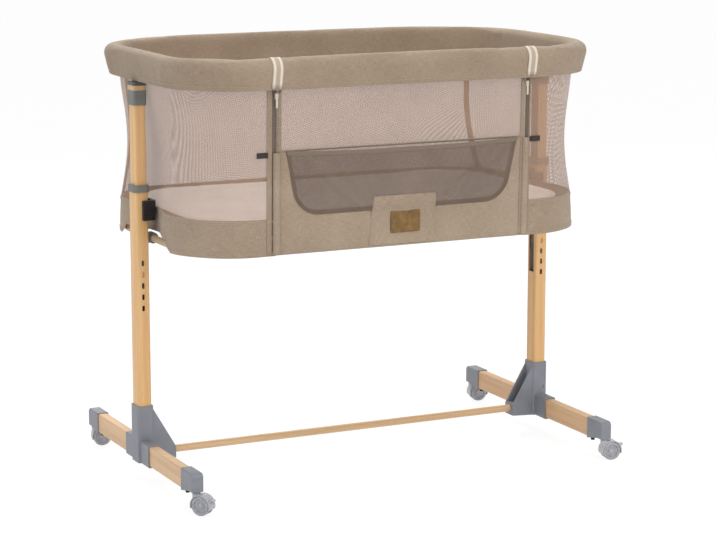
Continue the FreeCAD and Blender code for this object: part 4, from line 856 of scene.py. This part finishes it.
u = np.linspace(-1, 1, 121)
z = (FOOT + (MOUTH - FOOT) * (1 - np.cos(np.linspace(0, np.pi / 2, 44))) ** 0.9)[:, None]
sag = 0.0045 * (1 - u ** 2)
grid = in_pocket(u, z, 0, sag * np.clip((z - FOOT) / (MOUTH - FOOT), 0, 1) ** 3)
cloth = joined(grid[..., 0] + 0.3, z - FOOT)
pocket = surface("pocket_net", grid, cloth)
finish(pocket, pocket_net, "drop_panel", "dark_mesh", "pocket")


def ribbed(name, slope, pitch, shown, fuzz, detail, blur, dark, light, rough, relief, **sockets):
    """Narrow woven goods. Their ribs are a sine of this pitch, square to a slope over the cloth.

    shown and blur say how much the ribs and the fuzz, a noise with this scale and detail, change the tone.
    """
    skin = Finish(name, **sockets)
    at = skin.place(along_cloth=True)
    ribs = (at.axis(0) * slope[0] + at.axis(1) * slope[1]).waves(pitch)
    noise = skin.noise(skin.place((fuzz, fuzz, 1), along_cloth=True), 1.0, detail)
    return skin.looks((noise - 0.5) * blur + ribs * shown + 0.5, dark, light, rough + noise * 0.1,
                      ribs + noise, 0.0003, relief)


elastic = ribbed("pocket_elastic", (1, 0), 0.0016, 0.2, 500, 3.0, 1.4, (112, 96, 84), (138, 121, 106), 0.75,
                 0.6, Sheen_Weight=0.1)
z = MOUTH + np.linspace(-0.0090, 0.0005, 8)[:, None]
out = 0.0008 + 0.0009 * crowned(8)[:, None] + 0.0005 * np.sin(u * 210)
grid = in_pocket(u, z, out, sag)
hem_band = surface("pocket_hem_band", grid, joined(grid[..., 0] + 0.3, z))
finish(hem_band, elastic, "drop_panel", "dark_mesh", thick=0.0022)

# ----------------------------------------
# Tab: a linen flap over the pocket's lower edge, folded under at its sides, with a bare leather patch
# sewn on its middle.

TAB_TOP, TAB_LOW = 0.577, 0.480


def under_tab(x, z):
    """How far the cloth under the tab stands off the front face: the pocket's foot, or the panel below it."""
    below = 0.0022 * np.clip((z - FOOT + 0.012) / 0.012, 0, 1)
    return np.where(z > FOOT, pocket_out(x / 0.23, z) + 0.0012, below)


z = np.concatenate([[TAB_LOW, TAB_LOW + 0.0012], np.linspace(TAB_LOW + 0.004, FOOT - 0.004, 14),
                    np.linspace(FOOT - 0.002, TAB_TOP - 0.003, 14), [TAB_TOP - 0.001, TAB_TOP]])[:, None]
v = np.concatenate([[-1, -0.985], np.linspace(-0.96, 0.96, 35), [0.985, 1]])
x = v * (0.067 + 0.007 * (TAB_TOP - z) / (TAB_TOP - TAB_LOW))
ease = 0.0005 * np.sin(v * 5.1 + z * 60) * (1 - v ** 2)
grid = on_front(x, z, under_tab(x, z) + 0.0012 * (1 - np.abs(v) ** 60) + ease + 0.0008)
flap = surface("pocket_tab", grid, joined(x + 0.1, z - TAB_LOW))
finish(flap, panel_linen, "drop_panel", "linen", "tab", thick=0.0018)

hide = Finish("patch_leather", Specular_IOR_Level=0.4)
at = hide.place()
cells = hide.node("ShaderNodeTexVoronoi", {"feature": "DISTANCE_TO_EDGE"}, Vector=at, Scale=900.0)
mottle, wear = hide.noise(at, 120.0, 4.0, 0.6), hide.noise(at, 38.0, 3.0, 0.6)
hide.looks((mottle - 0.35) * 2.0 + (wear - 0.5), (106, 78, 38), (142, 110, 62), 0.5 + mottle * 0.2,
           (cells * 3.0).clamped() + mottle * 0.6, 0.0002, 0.5)
PATCH_X, PATCH_Z = 0.004, 0.524
px = np.concatenate([[-1, -0.985], np.linspace(-0.95, 0.95, 21), [0.985, 1]])
pz = np.concatenate([[-1, -0.98], np.linspace(-0.93, 0.93, 15), [0.98, 1]])[:, None]
# a rounded oblong: the corners of the square grid are drawn in onto small arcs
pull = 1 - 0.045 * (px * pz) ** 16
x, z = px * 0.032 * pull, pz * 0.022 * pull
puff = 0.0006 * (1 - np.abs(px) ** 14) * (1 - np.abs(pz) ** 14)
patch = surface("tab_patch", on_front(PATCH_X + x, PATCH_Z + z, 0.0034 + puff), joined(x, z))
finish(patch, hide.material, "drop_panel", "patch_leather", "patch", thick=0.0013)

# ----------------------------------------
# Zips: a coil on each woven tape, from the hem up to the rim, with a painted slider under the rim.

TAPE_LOW, TAPE_TOP = 0.478, 0.792
zip_weave = ribbed("zip_tape_weave", (1, 1), 0.0009, 0.2, 700, 3.0, 1.5, (100, 86, 73), (128, 112, 96), 0.8,
                   0.6, Sheen_Weight=0.08)
coil = speckled("zip_coil_nylon", (700.0, 2.0), 0, 1, (86, 74, 63), (112, 98, 84), 0.38, 0.2, (0.00005, 0.4),
                Specular_IOR_Level=0.5)
for side, x0, x1 in (("left", -0.2786, -0.2690), ("right", 0.2690, 0.2766)):
    x, z = np.linspace(x0, x1, 6), np.linspace(TAPE_LOW, TAPE_TOP, 60)[:, None]
    made = surface(f"zip_tape_{side}", on_front(x, z, 0.0003), joined(x - x0, z - TAPE_LOW))
    finish(made, zip_weave, "carriage", "zip_tape", *["zip_tapes"] * (side == "left"), thick=0.0006)

for name, mid in (("zip_coil_left", -0.2682), ("zip_coil_right", 0.2682)):
    # a flat spiral: the wire goes round an oval 2.8 mm wide and 1.1 mm deep, once every 1.8 mm
    z = np.linspace(TAPE_LOW, TAPE_TOP, 174 * 8)
    turn = 2 * np.pi * (z - TAPE_LOW) / 0.0018
    line = on_front(mid + 0.0014 * np.cos(turn), z, 0.0011 + 0.00055 * np.sin(turn))
    finish(cord_round(name, line, 0.00033, sides=5, closed=False), coil, "carriage", "zip_tape")

dress(speckled("slider_paint", (260.0, 4.0, 0.65), 0.4, 2.2, (198, 186, 168), (230, 221, 206), 0.34, 0.15,
               (0.00006, 0.4), Coat_Weight=0.2, Coat_Roughness=0.3), "zip_slider_")

# ----------------------------------------
# Loops beside the zips: short pieces of dark grosgrain, folded double and sewn into the binding.

gros = ribbed("loop_grosgrain", (0, 1), 0.0012, 0.3, 800, 2.0, 1.0, (38, 28, 24), (66, 52, 46), 0.7, 0.7,
              Sheen_Weight=0.1)
LOOP_LONG = 0.0220
for name, s, root in (("side_loop_left", -1, 0.2868), ("side_loop_right", 1, 0.2790)):
    # folded ribbon seen from above: out along the front, round the fold and back
    bend = np.linspace(-np.pi / 2, np.pi / 2, 13)
    run_out = np.linspace(root, root + LOOP_LONG, 9)
    x = np.concatenate([run_out, root + LOOP_LONG + 0.0011 * np.cos(bend), run_out[::-1]])
    off = np.concatenate([np.full(9, 0.0030), 0.0019 - 0.0011 * np.sin(bend), np.full(9, 0.0008)])
    z = np.linspace(0.6640, 0.6745, 5)[:, None]
    grid = on_front(s * x, z, off)[:, ::s]
    made = surface(name, grid, joined(np.linspace(0, 0.025, len(x)), z - 0.67))
    finish(made, gros, "carriage", "webbing", *["side_loops"] * (s < 0), thick=0.0007)

# ----------------------------------------
# Stitching: thread in the border's hem and seam, the rim's hem, the panel, the tab and the patch.

thread, pale = [speckled(name, (900.0, 2.0), 0, 1, dark, light, 0.6, 0.15, (0.0001, 0.5), Sheen_Weight=0.1)
                for name, dark, light in (("sewing_thread", (160, 143, 124), (198, 184, 166)),
                                          ("patch_thread", (120, 94, 62), (158, 130, 94)))]


def stitches(name, lines, material, body, slot, step=0.0034, long=0.0025, radius=0.00034):
    """Rows of stitches: each is a short six-sided spindle, laid end to end along its line."""
    sides, along = 6, np.array([0, 0.12, 0.5, 0.88, 1.0])[:, None, None]
    fat = np.array([0.25, 0.85, 1.0, 0.85, 0.25])[:, None, None] * radius
    a, b = [], []
    for line in lines:
        way = way_along(line)
        spots = np.arange(0.0004, way[-1] - long, step)
        for ends, at in ((a, spots), (b, spots + long)):
            ends.append(np.stack([np.interp(at, way, line[:, i]) for i in range(3)], -1))
    a, b = np.concatenate(a)[:, None, None], np.concatenate(b)[:, None, None]
    ahead = (b - a) / np.linalg.norm(b - a, axis=-1, keepdims=True)
    side = np.cross(ahead, [0.3, 0.9, 0.31])
    side /= np.linalg.norm(side, axis=-1, keepdims=True)
    turn = np.linspace(0, 2 * np.pi, sides + 1)[:-1, None]
    ring = a + (b - a) * along + fat * (np.cos(turn) * side + np.sin(turn) * np.cross(ahead, side))
    base = (np.arange(len(a)) * sides * len(along))[:, None, None]
    i, j = np.arange(len(along) - 1)[:, None] * sides, np.arange(sides)
    after = (j + 1) % sides
    faces = np.stack([base + i + j, base + i + after, base + i + sides + after, base + i + sides + j], -1)
    caps = np.concatenate([base[:, 0] + j[::-1], base[:, 0] + j + sides * (len(along) - 1)])
    finish(added(name, ring, faces.reshape(-1, 4).tolist() + caps.tolist()), material, body, slot)


def at_height(z, out):
    """Line round the walls at one height, out from the cloth."""
    line = wall_line([z, z + 0.001])
    return np.column_stack([(line + outward(line) * out)[0], np.full(line.shape[1], z)])


stitches("border_stitches", [at_height(SEAM - 0.0045, 0.0010)], thread, "carriage", "linen")
above_hem = at_height(0.484, 0.0010)
above_hem[:, 2] += raised
stitches("hem_stitches", [above_hem], thread, "carriage", "linen")
edge = rounded(np.linspace(0, 4, 500), RIM_LONG - 0.0062, RIM_DEEP - 0.0062, 0.1638)[0]
rim_line = np.column_stack([edge, np.full(len(edge), 0.8015)])
stitches("rim_stitches", [rim_line], thread, "carriage", "linen_rim")


def sewn(x0, z0, x1, z1, out):
    """A straight seam on the front face between two points, out from it."""
    return on_front(np.linspace(x0, x1, 60), np.linspace(z0, z1, 60), out)


tab_x, tab_z = np.linspace(0.0645, 0.0712, 60), np.linspace(0.574, 0.483, 60)
tab_seams = [on_front(s * tab_x, tab_z, under_tab(s * tab_x, tab_z) + 0.0023) for s in (-1, 1)]
stitches("panel_stitches", [*(sewn(x, 0.48, x, 0.79, 0.0022) for x in (0.2588, 0.2650)),
                            sewn(-PANEL, 0.4815, PANEL, 0.4815, 0.0012),
                            sewn(-PANEL, MOUTH + 0.0018, PANEL, MOUTH + 0.0018, 0.0021), *tab_seams],
         thread, "drop_panel", "linen")
stitches("binding_stitches", [sewn(x, 0.48, x, 0.79, 0.0018) for x in (-0.2874, -0.2796)], thread, "carriage",
         "linen")
ring = np.array([(-1, -1), (1, -1), (1, 1), (-1, 1), (-1, -1)]) * [0.0298, 0.0198] + [PATCH_X, PATCH_Z]
patch_line = np.concatenate([sewn(*ring[i], *ring[i + 1], 0.0040) for i in range(4)])
stitches("patch_stitches", [patch_line], pale, "drop_panel", "patch_leather", step=0.0030, long=0.0020,
         radius=0.0003)
